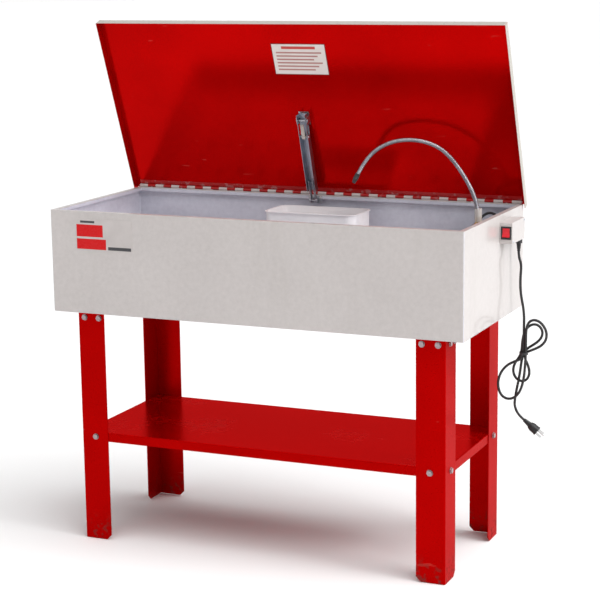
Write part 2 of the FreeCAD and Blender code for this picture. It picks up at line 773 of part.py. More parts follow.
def cross_pin(half, y, z):
    """A headed pin along X through a bracket's two ears."""
    parts = [across_stay(STAY_PIN_R, y, z, half)]
    for s in (-1, 1):
        under = Vector(STAY_X + s * half, y, z)
        parts.append(rod(STAY_PIN_R + PIN_HEAD_LIP, under, under.add(X * (s * PIN_HEAD_LIP))))
    return joined(parts)


def lid_pin():
    return cross_pin(LID_BRACKET_HALF + LID_BRACKET_SHEET, -STAY_ON_LID, -STAY_PIN_DEPTH)


def stay_rivets_on_lid():
    t = LID_BRACKET_SHEET
    return [rivet(Vector(x, y, LID_INNER - t), Z, t + SHEET) for x, y in lid_bracket_rivets()]


def label_plate():
    y0 = -LABEL_ON_LID - LABEL_HEIGHT / 2
    return block(-LABEL_LENGTH / 2, LABEL_LENGTH / 2, y0, y0 + LABEL_HEIGHT,
                 LID_INNER - LABEL_SHEET, LID_INNER)


# ---- stay arm, from its foot pin along the arm ----------------------------------------
def stay_foot():
    return Vector(STAY_X, PIN_Y - STAY_FOOT_BACK, PIN_Z - STAY_FOOT_DROP)


def stay_head():
    """Where the lid's pin is with the lid open."""
    along = Vector(0, -math.sin(LEAN), math.cos(LEAN))
    inward = Vector(0, -math.cos(LEAN), -math.sin(LEAN))
    return Vector(STAY_X, PIN_Y, PIN_Z).add(along * STAY_ON_LID).add(inward * STAY_PIN_DEPTH)


def stay_lean():
    run = stay_head().sub(stay_foot())
    return math.degrees(math.atan2(-run.y, run.z))


def place_stay(shape):
    """Puts a piece built up +Z from the foot pin, its open side to -Y, on the arm."""
    placed = shape.copy()
    placed.rotate(Vector(0, 0, 0), X, stay_lean())
    foot = stay_foot()
    placed.translate(Vector(0, foot.y, foot.z))
    return placed


def stay_slot():
    far = stay_head().sub(stay_foot()).Length - STAY_PLAY
    wide = block(STAY_X - STAY_WIDTH, STAY_X + STAY_WIDTH, -STAY_SLOT_HALF, STAY_SLOT_HALF,
                 STAY_SLOT_START, far)
    ends = [across_stay(STAY_SLOT_HALF, 0, z) for z in (STAY_SLOT_START, far)]
    return joined([wide] + ends)


def stay_channel():
    half = STAY_WIDTH / 2
    deep = STAY_HALF_DEPTH
    t = STAY_SHEET
    outer = block(STAY_X - half, STAY_X + half, -deep, deep, STAY_START, STAY_TOP)
    inner = block(STAY_X - half + t, STAY_X + half - t, -deep - PAST, deep - t,
                  STAY_START - PAST, STAY_TOP + PAST)
    cuts = [stay_slot(), across_stay(RIVET_R, -STAY_CROSS_FORWARD, LINK_RIVET_UP)]
    for z in STAY_RIVET_UP:
        cuts.append(rod(RIVET_R, Vector(STAY_X, 0, z), Vector(STAY_X, deep + PAST, z)))
    return outer.cut(inner).cut(group(cuts))


def stay_link():
    """The narrow channel that carries the stay from its foot pin up into the wide one."""
    half = STAY_LINK_WIDTH / 2
    t = STAY_SHEET
    back = STAY_HALF_DEPTH - t
    nose = across_stay(LINK_NOSE_R, 0, 0, half)
    heel = block(STAY_X - half, STAY_X + half, -LINK_NOSE_R, LINK_NOSE_R, 0, STAY_START)
    upper = block(STAY_X - half, STAY_X + half, -LINK_NOSE_R, back, STAY_START, STAY_LINK_END)
    hollow = block(STAY_X - half + t, STAY_X + half - t, -STAY_HALF_DEPTH, back - t,
                   -STAY_HALF_DEPTH, STAY_LINK_END + PAST)
    cuts = [hollow, across_stay(STAY_PIN_R, 0, 0)]
    for z in STAY_RIVET_UP:
        cuts.append(rod(RIVET_R, Vector(STAY_X, 0, z), Vector(STAY_X, back + PAST, z)))
    return joined([nose, heel, upper]).cut(joined(cuts))


def stay_rivets():
    deep = STAY_HALF_DEPTH
    t = STAY_SHEET
    made = [rivet(Vector(STAY_X, deep - 2 * t, z), Y, 2 * t) for z in STAY_RIVET_UP]
    half = STAY_WIDTH / 2
    made.append(rivet(Vector(STAY_X - half, -STAY_CROSS_FORWARD, LINK_RIVET_UP), X, STAY_WIDTH))
    return group(made)


def fusible_link():
    """The soft-metal strip that lets go in a fire, hung on the cross rivet."""
    high = stay_head().sub(stay_foot()).Length - FUSE_TOP_DROP
    x0 = STAY_X - FUSE_HALF
    x1 = STAY_X + FUSE_HALF
    y0 = -STAY_HALF_DEPTH + FUSE_SET_BACK
    y1 = -STAY_CROSS_FORWARD
    strip = block(x0, x1, y0, y0 + FUSE_SHEET, LINK_RIVET_UP - FUSE_CURL_R, high)
    curl = rod(FUSE_CURL_R, Vector(x0, y1, LINK_RIVET_UP), Vector(x1, y1, LINK_RIVET_UP))
    web = block(x0, x1, y0, y1, LINK_RIVET_UP - FUSE_CURL_R, LINK_RIVET_UP + FUSE_CURL_R)
    return joined([strip, curl, web]).cut(across_stay(RIVET_R, y1, LINK_RIVET_UP))


def foot_bracket():
    """The bracket on the rear rim that the stay's foot pin goes through."""
    face = HALF_Y - RIM_WIDTH
    foot = stay_foot()
    base = block(STAY_X - FOOT_PLATE_HALF, STAY_X + FOOT_PLATE_HALF, face - FOOT_EAR, face,
                 foot.z - FOOT_PLATE_DROP, TANK_TOP - SHEET)
    parts = [base]
    for s in (-1, 1):
        xa = STAY_X + s * FOOT_EAR_HALF
        xb = STAY_X + s * (FOOT_EAR_HALF + FOOT_EAR)
        parts.append(block(min(xa, xb), max(xa, xb), foot.y, face - FOOT_EAR,
                           foot.z - FOOT_EAR_R, foot.z + FOOT_EAR_R))
        parts.append(rod(FOOT_EAR_R, Vector(xa, foot.y, foot.z), Vector(xb, foot.y, foot.z)))
    bracket = joined(parts)
    cuts = [across_stay(STAY_PIN_R, foot.y, foot.z)]
    for x in STAY_RIVET_XS:
        start = Vector(x, face - FOOT_EAR - PAST, STAY_RIVET_Z)
        cuts.append(rod(RIVET_R, start, Vector(x, face + PAST, STAY_RIVET_Z)))
    return bracket.cut(group(cuts))


def foot_bracket_rivets():
    face = HALF_Y - RIM_WIDTH
    return [rivet(Vector(x, face - FOOT_EAR, STAY_RIVET_Z), Y, FOOT_EAR + SHEET) for x in STAY_RIVET_XS]


# ---- inside the tank ---------------------------------------------------------------------
def shelf_ledge(side):
    """An angle welded to the tank's long wall under the work shelf."""
    top = WORK_Z - SHEET
    wall = side * (HALF_Y - SHEET)
    edge = wall - side * LEDGE
    web = wall - side * LEDGE_SHEET
    flat = block(WORK_LEFT, WORK_RIGHT, min(wall, edge), max(wall, edge), top - LEDGE_SHEET, top)
    down = block(WORK_LEFT, WORK_RIGHT, min(wall, web), max(wall, web), top - LEDGE, top)
    return flat.fuse(down).removeSplitter()


def work_shelf():
    hy = HALF_Y - SHEET - WORK_SHELF_GAP
    plate = block(WORK_LEFT, WORK_RIGHT, -hy, hy, WORK_Z - SHEET, WORK_Z)
    lips = []
    for x in (WORK_LEFT, WORK_RIGHT - SHEET):
        lips.append(block(x, x + SHEET, -hy + LEDGE + WORK_SHELF_GAP, hy - LEDGE - WORK_SHELF_GAP,
                          WORK_Z - WORK_SHELF_LIP, WORK_Z))
    shelf = joined([plate] + lips)
    holes = []
    row_pitch = 2 * (hy - DRAIN_MARGIN) / (DRAIN_ROWS - 1)
    for i in range(DRAIN_COLUMNS):
        for j in range(DRAIN_ROWS):
            x = WORK_LEFT + WORK_SHELF_LENGTH * (i + 0.5) / DRAIN_COLUMNS
            y = (j - (DRAIN_ROWS - 1) / 2) * row_pitch
            holes.append(rod(DRAIN_HOLE_R, Vector(x, y, WORK_Z - SHEET - PAST), Vector(x, y, WORK_Z + PAST)))
    return shelf.cut(group(holes))


def tray_blank(grow, z0, z1, radius):
    hx = TRAY_LENGTH / 2 + grow
    hy = TRAY_WIDTH / 2 + grow
    return rounded_block(TRAY_X - hx, TRAY_X + hx, TRAY_Y - hy, TRAY_Y + hy, z0, z1, radius)


def parts_tray():
    low = WORK_Z + REST_GAP
    top = low + TRAY_HEIGHT
    outer = tray_blank(0, low, top, TRAY_CORNER)
    base_edges = [e for e in outer.Edges if e.BoundBox.ZMax < low + TOUCH]
    outer = outer.makeFillet(TRAY_BASE_R, base_edges)
    inner = tray_blank(-SHEET, low + SHEET, top + PAST, TRAY_CORNER - SHEET)
    floor_edges = [e for e in inner.Edges if e.BoundBox.ZMax < low + SHEET + TOUCH]
    inner = inner.makeFillet(TRAY_FLOOR_R, floor_edges)
    rim = tray_blank(TRAY_RIM, top - SHEET, top, TRAY_CORNER + TRAY_RIM)
    return outer.fuse(rim).cut(inner)


def on_drain(z):
    return Vector(0, 0, z)


def drain_socket():
    low = LEG_HEIGHT - DRAIN_SOCKET_H
    body = rod(DRAIN_SOCKET_R, on_drain(low), on_drain(LEG_HEIGHT))
    neck = rod(DRAIN_R + DRAIN_WALL, on_drain(LEG_HEIGHT), on_drain(FLOOR_TOP))
    return joined([body, neck]).cut(rod(DRAIN_R, on_drain(low - PAST), on_drain(FLOOR_TOP + PAST)))


def plug_seat():
    return LEG_HEIGHT - DRAIN_SOCKET_H - GASKET_H - GASKET_GAP


def drain_gasket():
    low = plug_seat()
    high = low + GASKET_H
    ring = rod(DRAIN_SOCKET_R - GASKET_H / 2, on_drain(low), on_drain(high))
    return ring.cut(rod(DRAIN_R - GASKET_GAP, on_drain(low - PAST), on_drain(high + PAST)))


def drain_plug():
    seat = plug_seat()
    flange_low = seat - PLUG_FLANGE_H
    flange = rod(DRAIN_SOCKET_R, on_drain(flange_low), on_drain(seat))
    head = hexagon(PLUG_HEX_R, PLUG_HEX_H, on_drain(flange_low - PLUG_HEX_H), Z)
    stem = rod(DRAIN_R - 2 * GASKET_GAP, on_drain(seat), on_drain(seat + PLUG_STEM_H))
    low = flange_low - PLUG_HEX_H
    dip = rod(PLUG_DIP_R, on_drain(low - PAST), on_drain(low + PLUG_DIP_DEPTH))
    return joined([flange, head, stem]).cut(dip)


# ---- pump --------------------------------------------------------------------------------
def on_pump(z):
    return Vector(PUMP_X, PUMP_Y, z)


def pump_base():
    """The strainer foot: a ring wall with inlet slots and a chamber for the impeller."""
    outer = rod(PUMP_BASE_R, on_pump(PUMP_FOOT_Z), on_pump(PUMP_BODY_Z))
    cuts = [rod(IMPELLER_R + IMPELLER_CLEARANCE, on_pump(PUMP_FOOT_Z + PUMP_WALL),
                on_pump(PUMP_BODY_Z + PAST))]
    pitch = 360.0 / PUMP_SLOTS
    for i in range(PUMP_SLOTS):
        slot = block(IMPELLER_R, PUMP_BASE_R + PAST, -PUMP_SLOT_HALF, PUMP_SLOT_HALF,
                     PUMP_FOOT_Z + PUMP_SLOT_LOW, PUMP_FOOT_Z + PUMP_SLOT_HIGH)
        slot.rotate(Vector(0, 0, 0), Z, pitch * (i + 0.5))
        slot.translate(on_pump(0))
        cuts.append(slot)
    return outer.cut(group(cuts))


def on_outlet(above_base):
    """A place on the outlet's upright axis, measured up from the top of the pump's foot."""
    return Vector(OUTLET_X, PUMP_Y, PUMP_BODY_Z + above_base)


def pump_housing():
    outer = rod(PUMP_R, on_pump(PUMP_BODY_Z), on_pump(PUMP_CAP_Z))
    arm = block(PUMP_X, OUTLET_X, PUMP_Y - PUMP_OUTLET_HALF, PUMP_Y + PUMP_OUTLET_HALF,
                PUMP_BODY_Z + PUMP_OUTLET_LOW, PUMP_BODY_Z + PUMP_OUTLET_HIGH)
    riser = rod(PUMP_OUTLET_HALF, on_outlet(PUMP_OUTLET_LOW), on_outlet(PUMP_RISER_TOP))
    barb = rod(OUTLET_R, on_outlet(PUMP_RISER_TOP), on_outlet(PUMP_BARB_TOP))
    body = joined([outer, arm, riser, barb])
    floor = PUMP_BODY_Z + PUMP_FLOOR
    cavity = rod(PUMP_R - PUMP_WALL, on_pump(floor), on_pump(PUMP_CAP_Z + PAST))
    bore = rod(SHAFT_R + PIN_CLEARANCE, on_pump(PUMP_BODY_Z - PAST), on_pump(floor + PAST))
    turn = on_outlet((PUMP_OUTLET_LOW + PUMP_OUTLET_HIGH) / 2)
    duct = rod(PUMP_DUCT_R, turn, on_outlet(PUMP_BARB_TOP + PAST))
    return body.cut(group([cavity, bore, duct]))


def motor_stator():
    low = PUMP_BODY_Z + STATOR_FROM_BASE
    high = PUMP_CAP_Z - STATOR_FROM_CAP
    ring = rod(PUMP_R - PUMP_WALL, on_pump(low), on_pump(high))
    return ring.cut(rod(ROTOR_R + ROTOR_CLEARANCE, on_pump(low - PAST), on_pump(high + PAST)))


def pump_cap():
    disc = rod(PUMP_R, on_pump(PUMP_CAP_Z), on_pump(PUMP_TOP_Z))
    top_edges = [e for e in disc.Edges if e.BoundBox.ZMin > PUMP_TOP_Z - TOUCH]
    disc = disc.makeFillet(CAP_EDGE_R, top_edges)
    gland = rod(2 * LEAD_R, Vector(LEAD_START.x, LEAD_START.y, PUMP_TOP_Z), LEAD_START)
    lead = rod(LEAD_R, Vector(LEAD_START.x, LEAD_START.y, PUMP_TOP_Z - PAST), LEAD_START.add(Z))
    spigot = rod(PUMP_R - PUMP_WALL - GASKET_GAP, on_pump(PUMP_CAP_Z - CAP_SPIGOT_H), on_pump(PUMP_CAP_Z))
    cuts = [lead]
    for x, y in cap_screw_places():
        low = Vector(x, y, PUMP_TOP_Z - CAP_SCREW_DEEP)
        cuts.append(rod(CAP_SCREW_R, low, Vector(x, y, PUMP_TOP_Z + PAST)))
    return joined([disc, gland, spigot]).cut(group(cuts))


def cap_screw_places():
    made = []
    for i in range(4):
        angle = math.radians(45 + 90 * i)
        made.append((PUMP_X + CAP_SCREW_RING * math.cos(angle), PUMP_Y + CAP_SCREW_RING * math.sin(angle)))
    return made


def small_screw(under_head, axis, radius, depth):
    """A dome-headed screw: the place under its head, the way out of the work, its stem."""
    stem = rod(radius, under_head.sub(axis * depth), under_head)
    head = cone(radius + SCREW_HEAD_LIP, radius + SCREW_HEAD_LIP / 2, under_head,
                under_head.add(axis * SCREW_HEAD_H))
    return joined([stem, head])


def pump_screws():
    places = [Vector(x, y, PUMP_TOP_Z) for x, y in cap_screw_places()]
    return [small_screw(place, Z, CAP_SCREW_R, CAP_SCREW_DEEP) for place in places]


def pump_shaft():
    shaft = rod(SHAFT_R, on_pump(PUMP_FOOT_Z + IMPELLER_LIFT), on_pump(PUMP_CAP_Z - IMPELLER_HUB_R))
    rotor = rod(ROTOR_R, on_pump(PUMP_BODY_Z + ROTOR_FROM_BASE), on_pump(PUMP_CAP_Z - ROTOR_FROM_CAP))
    return joined([shaft, rotor])


def impeller():
    low = PUMP_FOOT_Z + IMPELLER_LIFT
    disc = rod(IMPELLER_R, on_pump(low), on_pump(low + IMPELLER_DISC))
    hub = rod(IMPELLER_HUB_R, on_pump(low), on_pump(low + IMPELLER_HUB_H))
    parts = [disc, hub]
    for i in range(VANE_COUNT):
        vane = block(SHAFT_R + PAST, IMPELLER_R, -IMPELLER_DISC / 2, IMPELLER_DISC / 2, low, low + VANE_H)
        vane.rotate(Vector(0, 0, 0), Z, 360.0 / VANE_COUNT * i)
        vane.translate(on_pump(0))
        parts.append(vane)
    return joined(parts).cut(rod(SHAFT_R, on_pump(low - PAST), on_pump(low + IMPELLER_HUB_H + PAST)))


# ---- spout -------------------------------------------------------------------------------
def on_spout(x, z):
    return Vector(x, SPOUT_Y, z)


def spout_bracket():
    """The shelf bracket welded inside the end wall that carries the spout's manifold."""
    top = SPOUT_Z - MANIFOLD_HALF
    low = top - BRACKET_PLATE
    wall = HALF_X - SHEET
    y0 = SPOUT_Y - SPOUT_BRACKET_HALF
    y1 = SPOUT_Y + SPOUT_BRACKET_HALF
    plate = block(MANIFOLD_X0, wall, y0, y1, low, top)
    down = block(wall - BRACKET_PLATE, wall, y0, y1, top - SPOUT_BRACKET_DOWN, top)
    hole = rod(OUTLET_R + PAST, on_spout(OUTLET_X, low - PAST), on_spout(OUTLET_X, top + PAST))
    return plate.fuse(down).removeSplitter().cut(hole)


def spout_manifold():
    """The brass body that takes the hose below and turns the flow into the swivel."""
    h = MANIFOLD_HALF
    body = block(MANIFOLD_X0, MANIFOLD_X1, SPOUT_Y - h, SPOUT_Y + h, SPOUT_Z - h, SPOUT_Z + h)
    body = body.makeFillet(MANIFOLD_EDGE_R, body.Edges)
    journal = rod(JOURNAL_R, on_spout(JOURNAL_X, SPOUT_Z), on_spout(MANIFOLD_X0 + MANIFOLD_GAP, SPOUT_Z))
    barb = rod(OUTLET_R, on_spout(OUTLET_X, BARB_LOW), on_spout(OUTLET_X, SPOUT_Z))
    across = rod(MANIFOLD_DUCT_R, on_spout(SPOUT_X, SPOUT_Z), on_spout(OUTLET_X, SPOUT_Z))
    duct = rod(MANIFOLD_DUCT_R, on_spout(OUTLET_X, BARB_LOW - PAST),
               on_spout(OUTLET_X, SPOUT_Z + MANIFOLD_DUCT_R))
    screw = rod(CAP_SCREW_R, on_spout(JOURNAL_X - PAST, SPOUT_Z),
                on_spout(JOURNAL_X + SPOUT_SCREW_DEEP, SPOUT_Z))
    return joined([body, journal, barb]).cut(group([across, duct, screw]))


def spout_screw():
    """The broad-headed screw in the journal's end that keeps the swivel on."""
    end = on_spout(JOURNAL_X, SPOUT_Z)
    outside = JOURNAL_X - SPOUT_SCREW_HEAD
    head = cone(SPOUT_SCREW_R, SPOUT_SCREW_R - SCREW_HEAD_LIP, end, on_spout(outside, SPOUT_Z))
    stem = rod(CAP_SCREW_R, end, on_spout(JOURNAL_X + SPOUT_SCREW_DEEP, SPOUT_Z))
    slot = block(outside - PAST, outside + SPOUT_SCREW_HEAD / 2,
                 SPOUT_Y - SPOUT_SCREW_R, SPOUT_Y + SPOUT_SCREW_R,
                 SPOUT_Z - SCREW_SLOT_HALF, SPOUT_Z + SCREW_SLOT_HALF)
    return head.fuse(stem).cut(slot)


def spout_sleeve():
    """The clear vinyl sleeve over the swivel's socket and the foot of the gooseneck."""
    low = on_spout(SPOUT_X, SLEEVE_LOW)
    high = on_spout(SPOUT_X, SLEEVE_HIGH)
    return rod(SOCKET_R + SLEEVE_WALL, low, high).cut(rod(SOCKET_R, low.sub(Z), high.add(Z)))


def spout_swivel():
    """The ring that turns on the journal, with the socket the gooseneck sits in."""
    x0 = SPOUT_X - COLLAR_WIDTH / 2
    x1 = SPOUT_X + COLLAR_WIDTH / 2
    middle = on_spout(SPOUT_X, SPOUT_Z)
    ring = rod(COLLAR_R, on_spout(x0, SPOUT_Z), on_spout(x1, SPOUT_Z))
    socket = rod(SOCKET_R, middle, middle.add(Z * SOCKET_TOP))
    bore = rod(JOURNAL_R + PIN_CLEARANCE, on_spout(x0 - PAST, SPOUT_Z), on_spout(x1 + PAST, SPOUT_Z))
    seat = rod(SPOUT_R, middle.add(Z * SOCKET_SEAT), middle.add(Z * (SOCKET_TOP + PAST)))
    duct = rod(MANIFOLD_DUCT_R, middle, middle.add(Z * (SOCKET_SEAT + PAST)))
    return joined([ring, socket]).cut(group([bore, seat, duct]))


SPOUT_BENDS = [
    (0.0, 16.0),
    (0.0, 68.0),
    (-36.0, 135.0),
    (-85.0, 197.0),
    (-133.0, 224.0),
    (-203.0, 233.0),
    (-271.0, 216.0),
    (-317.0, 180.0),
    (-344.0, 131.0),
]
SPOUT_ROUTE = [(SPOUT_X + out, SPOUT_Z + up) for out, up in SPOUT_BENDS]


def rounded_route(points, say=None):
    """Straight runs joined by the largest tangent arcs that they allow."""
    edges = []
    radii = []
    start = points[0]
    for i in range(1, len(points) - 1):
        before = points[i].sub(points[i - 1])
        after = points[i + 1].sub(points[i])
        turn = before.getAngle(after)
        back = 0.45 * min(before.Length, after.Length)
        radius = back / math.tan(turn / 2)
        radii.append(radius)
        d0 = before.normalize()
        d1 = after.normalize()
        a = points[i].sub(d0 * back)
        b = points[i].add(d1 * back)
        inward = d1.sub(d0).normalize()
        middle = points[i].add(inward * (radius / math.cos(turn / 2) - radius))
        edges.append(Part.LineSegment(start, a).toShape())
        edges.append(Part.Arc(a, middle, b).toShape())
        start = b
    edges.append(Part.LineSegment(start, points[-1]).toShape())
    if say:
        print(say, "radii", [round(r, 1) for r in radii])
    return Part.Wire(edges)


def tube(points, radius, say=None):
    """A round solid along a route, its volume compared with section times length."""
    path = rounded_route(points, say)
    heading = points[1].sub(points[0])
    ring = Part.Wire(Part.makeCircle(radius, points[0], heading))
    solid = path.makePipeShell([ring], True, False)
    if say:
        share = solid.Volume / (math.pi * radius * radius * path.Length)
        print(say, "length", round(path.Length, 1), "volume share", round(share, 4))
    return solid


def gooseneck():
    points = [Vector(x, SPOUT_Y, z) for x, z in SPOUT_ROUTE]
    return tube(points, SPOUT_R, "gooseneck")


def spout_nozzle():
    x0, z0 = SPOUT_ROUTE[-2]
    x1, z1 = SPOUT_ROUTE[-1]
    end = on_spout(x1, z1)
    down = Vector(x1 - x0, 0, z1 - z0).normalize()
    start = end.sub(down * NOZZLE_HALF_LENGTH)
    mouth = end.add(down * NOZZLE_HALF_LENGTH)
    collar = rod(SPOUT_R + NOZZLE_LIP, start, end)
    tip = cone(SPOUT_R + NOZZLE_LIP / 2, SPOUT_R - NOZZLE_LIP, end, mouth)
    socket = rod(SPOUT_R, start.sub(down), end)
    bore = rod(NOZZLE_BORE_R, end.sub(down), mouth.add(down))
    return joined([collar, tip]).cut(socket).cut(bore)


def pump_hose():
    wall = rod(HOSE_OUTER_R, on_spout(OUTLET_X, HOSE_LOW), on_spout(OUTLET_X, HOSE_HIGH))
    return wall.cut(rod(OUTLET_R, on_spout(OUTLET_X, HOSE_LOW - PAST), on_spout(OUTLET_X, HOSE_HIGH + PAST)))


def hose_clamp(low):
    """A band round the hose with the raised lug of its screw."""
    high = low + CLAMP_WIDTH
    band = rod(HOSE_OUTER_R + CLAMP_LIP, on_spout(OUTLET_X, low), on_spout(OUTLET_X, high))
    lug = block(OUTLET_X - CLAMP_EAR_HALF, OUTLET_X + CLAMP_EAR_HALF,
                SPOUT_Y - HOSE_OUTER_R - CLAMP_EAR_OUT, SPOUT_Y, low, high)
    hose = rod(HOSE_OUTER_R, on_spout(OUTLET_X, low - PAST), on_spout(OUTLET_X, high + PAST))
    return band.fuse(lug).removeSplitter().cut(hose)


def hose_clamps():
    return group([hose_clamp(HOSE_LOW + CLAMP_LOW_RISE), hose_clamp(SPOUT_Z - CLAMP_TOP_DROP)])


LEAD_ROUTE = [
    LEAD_START,
    LEAD_START.add(Vector(0, 0, 30)),
    Vector(474, 160, SPOUT_Z - 30),
    Vector(483, 176, SPOUT_Z + 8),
    Vector(509, 186, SPOUT_Z + 34),
    Vector(540, 172, SPOUT_Z + 30),
    Vector(553, 140, SPOUT_Z + 20),
    Vector(560, 108, SPOUT_Z + 9),
    Vector(HALF_X - 13, GROMMET_Y, GROMMET_Z),
    Vector(HALF_X + 10, GROMMET_Y, GROMMET_Z),
]


def pump_lead():
    points = [Vector(p) for p in LEAD_ROUTE]
    return tube(points, LEAD_R, "pump lead")


def wall_grommet():
    """The rubber ring that carries the pump's lead through the wall into the box."""
    start = Vector(HALF_X - SHEET - GROMMET_LIP, GROMMET_Y, GROMMET_Z)
    end = Vector(HALF_X + GROMMET_LIP, GROMMET_Y, GROMMET_Z)
    body = rod(GROMMET_R, start, end)
    inside = rod(GROMMET_R + GROMMET_LIP, start, start.add(X * GROMMET_LIP))
    outside = rod(GROMMET_R + GROMMET_LIP, end, end.sub(X * GROMMET_LIP))
    return joined([body, inside, outside]).cut(rod(LEAD_R, start.sub(X), end.add(X)))


# ---- switch box --------------------------------------------------------------------------
def box_blank(x0, x1, inset, radius):
    """A block in the outline of the switch box, its edges along X rounded."""
    solid = block(x0, x1, BOX_FRONT_Y + inset, BOX_BACK_Y - inset, BOX_BOTTOM + inset, BOX_TOP - inset)
    along = [e for e in solid.Edges if e.BoundBox.XLength > x1 - x0 - TOUCH]
    return solid.makeFillet(radius, along)


def switch_box():
    """The box's four walls, open to the tank behind, with two lugs that screw to the tank."""
    outer = box_blank(BOX_X0, BOX_X1, 0, BOX_CORNER)
    walls = outer.cut(box_blank(BOX_X0 - PAST, BOX_X1 + PAST, BOX_SHEET, BOX_INNER_CORNER))
    parts = [walls]
    for y, z in COVER_SCREWS:
        parts.append(rod(COVER_POST_R, Vector(BOX_X0 + PAST, y, z), Vector(BOX_X1, y, z)))
    for y in BOX_SCREW_YS:
        parts.append(block(BOX_X0, BOX_X0 + BOX_SHEET, y - BOX_LUG_HALF, y + BOX_LUG_HALF,
                           BOX_SCREW_Z - BOX_LUG_HALF, BOX_TOP - BOX_SHEET / 2))
    return joined(parts).cut(group(switch_box_holes()))


def switch_box_holes():
    """The rocker's cut-out, the mains lead's hole and the holes of both sets of screws."""
    deep = BOX_SHEET + PAST
    cuts = [block(SWITCH_X - CUTOUT_HALF_X, SWITCH_X + CUTOUT_HALF_X,
                  BOX_FRONT_Y - PAST, BOX_FRONT_Y + BEZEL_BODY_DEPTH + PAST,
                  SWITCH_Z - CUTOUT_HALF_Z, SWITCH_Z + CUTOUT_HALF_Z)]
    cuts.append(rod(GLAND_R, on_gland(BOX_BOTTOM - PAST), on_gland(BOX_BOTTOM + deep)))
    for y, z in COVER_SCREWS:
        cuts.append(rod(COVER_SCREW_R, Vector(BOX_X1 - COVER_SCREW_DEEP, y, z), Vector(BOX_X1 + PAST, y, z)))
    for y in BOX_SCREW_YS:
        start = Vector(BOX_X0 - PAST, y, BOX_SCREW_Z)
        cuts.append(rod(BOX_SCREW_R, start, Vector(BOX_X0 + deep, y, BOX_SCREW_Z)))
    return cuts


def switch_cover():
    face = BOX_X1 + COVER_SHEET
    plate = box_blank(BOX_X1, face, 0, BOX_CORNER)
    outside = [e for e in plate.Edges if e.BoundBox.XMin > face - TOUCH]
    plate = plate.makeFillet(COVER_EDGE_R, outside)
    cuts = []
    for y, z in COVER_SCREWS:
        cuts.append(rod(COVER_SCREW_R, Vector(BOX_X1 - PAST, y, z), Vector(face + PAST, y, z)))
    return plate.cut(group(cuts))


def cover_screws():
    depth = COVER_SHEET + COVER_SCREW_DEEP
    places = [Vector(BOX_X1 + COVER_SHEET, y, z) for y, z in COVER_SCREWS]
    return [small_screw(place, X, COVER_SCREW_R, depth) for place in places]


def box_screws():
    """Screws through the box's back and the tank's end wall, each with its nut."""
    made = []
    inside = BOX_X0 + BOX_SHEET
    for y in BOX_SCREW_YS:
        depth = BOX_SHEET + SHEET + BOX_SCREW_TAIL
        screw = small_screw(Vector(inside, y, BOX_SCREW_Z), X, BOX_SCREW_R, depth)
        tail_nut = hexagon(BOX_NUT_R, BOX_NUT_H, Vector(BOX_X0 - SHEET - BOX_NUT_H, y, BOX_SCREW_Z), X)
        made.append(joined([screw, tail_nut]))
    return made


def rocker_bezel():
    face = BOX_FRONT_Y
    frame = block(SWITCH_X - BEZEL_HALF_X, SWITCH_X + BEZEL_HALF_X, face - BEZEL_FLANGE, face,
                  SWITCH_Z - BEZEL_HALF_Z, SWITCH_Z + BEZEL_HALF_Z)
    front_edges = [e for e in frame.Edges if e.BoundBox.YMax < face - BEZEL_FLANGE + TOUCH]
    frame = frame.makeFillet(BEZEL_FLANGE / 2, front_edges)
    body = block(SWITCH_X - CUTOUT_HALF_X, SWITCH_X + CUTOUT_HALF_X, face, face + BEZEL_BODY_DEPTH,
                 SWITCH_Z - CUTOUT_HALF_Z, SWITCH_Z + CUTOUT_HALF_Z)
    wide = ROCKER_HALF_X + ROCKER_PLAY_X
    high = ROCKER_HALF_Z + ROCKER_PLAY_Z
    well = block(SWITCH_X - wide, SWITCH_X + wide, face - BEZEL_FLANGE - PAST, face + BEZEL_WELL_DEPTH,
                 SWITCH_Z - high, SWITCH_Z + high)
    return frame.fuse(body).removeSplitter().cut(well)


def rocker():
    """The rocker at its off tilt: a shallow saddle in front, tapered behind."""
    y0 = BOX_FRONT_Y
    end = ROCKER_HALF_Z - ROCKER_END_TAPER
    profile = [
        (y0 - ROCKER_PROUD, end),
        (y0 - ROCKER_PROUD + ROCKER_SADDLE, 0),
        (y0 - ROCKER_PROUD, -end),
        (y0 + ROCKER_SIDE_DEPTH, -end),
        (y0 + ROCKER_DEPTH, -ROCKER_FOOT_HALF),
        (y0 + ROCKER_DEPTH, ROCKER_FOOT_HALF),
        (y0 + ROCKER_SIDE_DEPTH, end),
        (y0 - ROCKER_PROUD, end),
    ]
    points = [Vector(0, y, z) for y, z in profile]
    wedge = Part.Face(Part.makePolygon(points)).extrude(Vector(2 * ROCKER_HALF_X, 0, 0))
    front = [e for e in wedge.Edges if e.BoundBox.YMax < y0 - PAST]
    wedge = wedge.makeFillet(ROCKER_EDGE_R, front)
    wedge.translate(Vector(SWITCH_X - ROCKER_HALF_X, 0, SWITCH_Z))
    wedge.rotate(Vector(SWITCH_X, ROCKER_PIVOT_Y, SWITCH_Z), X, -ROCKER_TILT)
    return wedge


def on_gland(z):
    return Vector(GLAND_X, GLAND_Y, z)


def cord_gland():
    nut_body = hexagon(GLAND_NUT_R, GLAND_NUT_H, on_gland(GLAND_LOW), Z)
    top = BOX_BOTTOM + GLAND_R
    stem = rod(GLAND_R, on_gland(BOX_BOTTOM), on_gland(top))
    return joined([nut_body, stem]).cut(rod(CORD_R, on_gland(GLAND_LOW - PAST), on_gland(top + PAST)))


def strain_relief():
    sleeve = cone(RELIEF_R, CORD_R + PAST, on_gland(GLAND_LOW), on_gland(RELIEF_LOW))
    return sleeve.cut(rod(CORD_R, on_gland(GLAND_LOW + PAST), on_gland(RELIEF_LOW - PAST)))


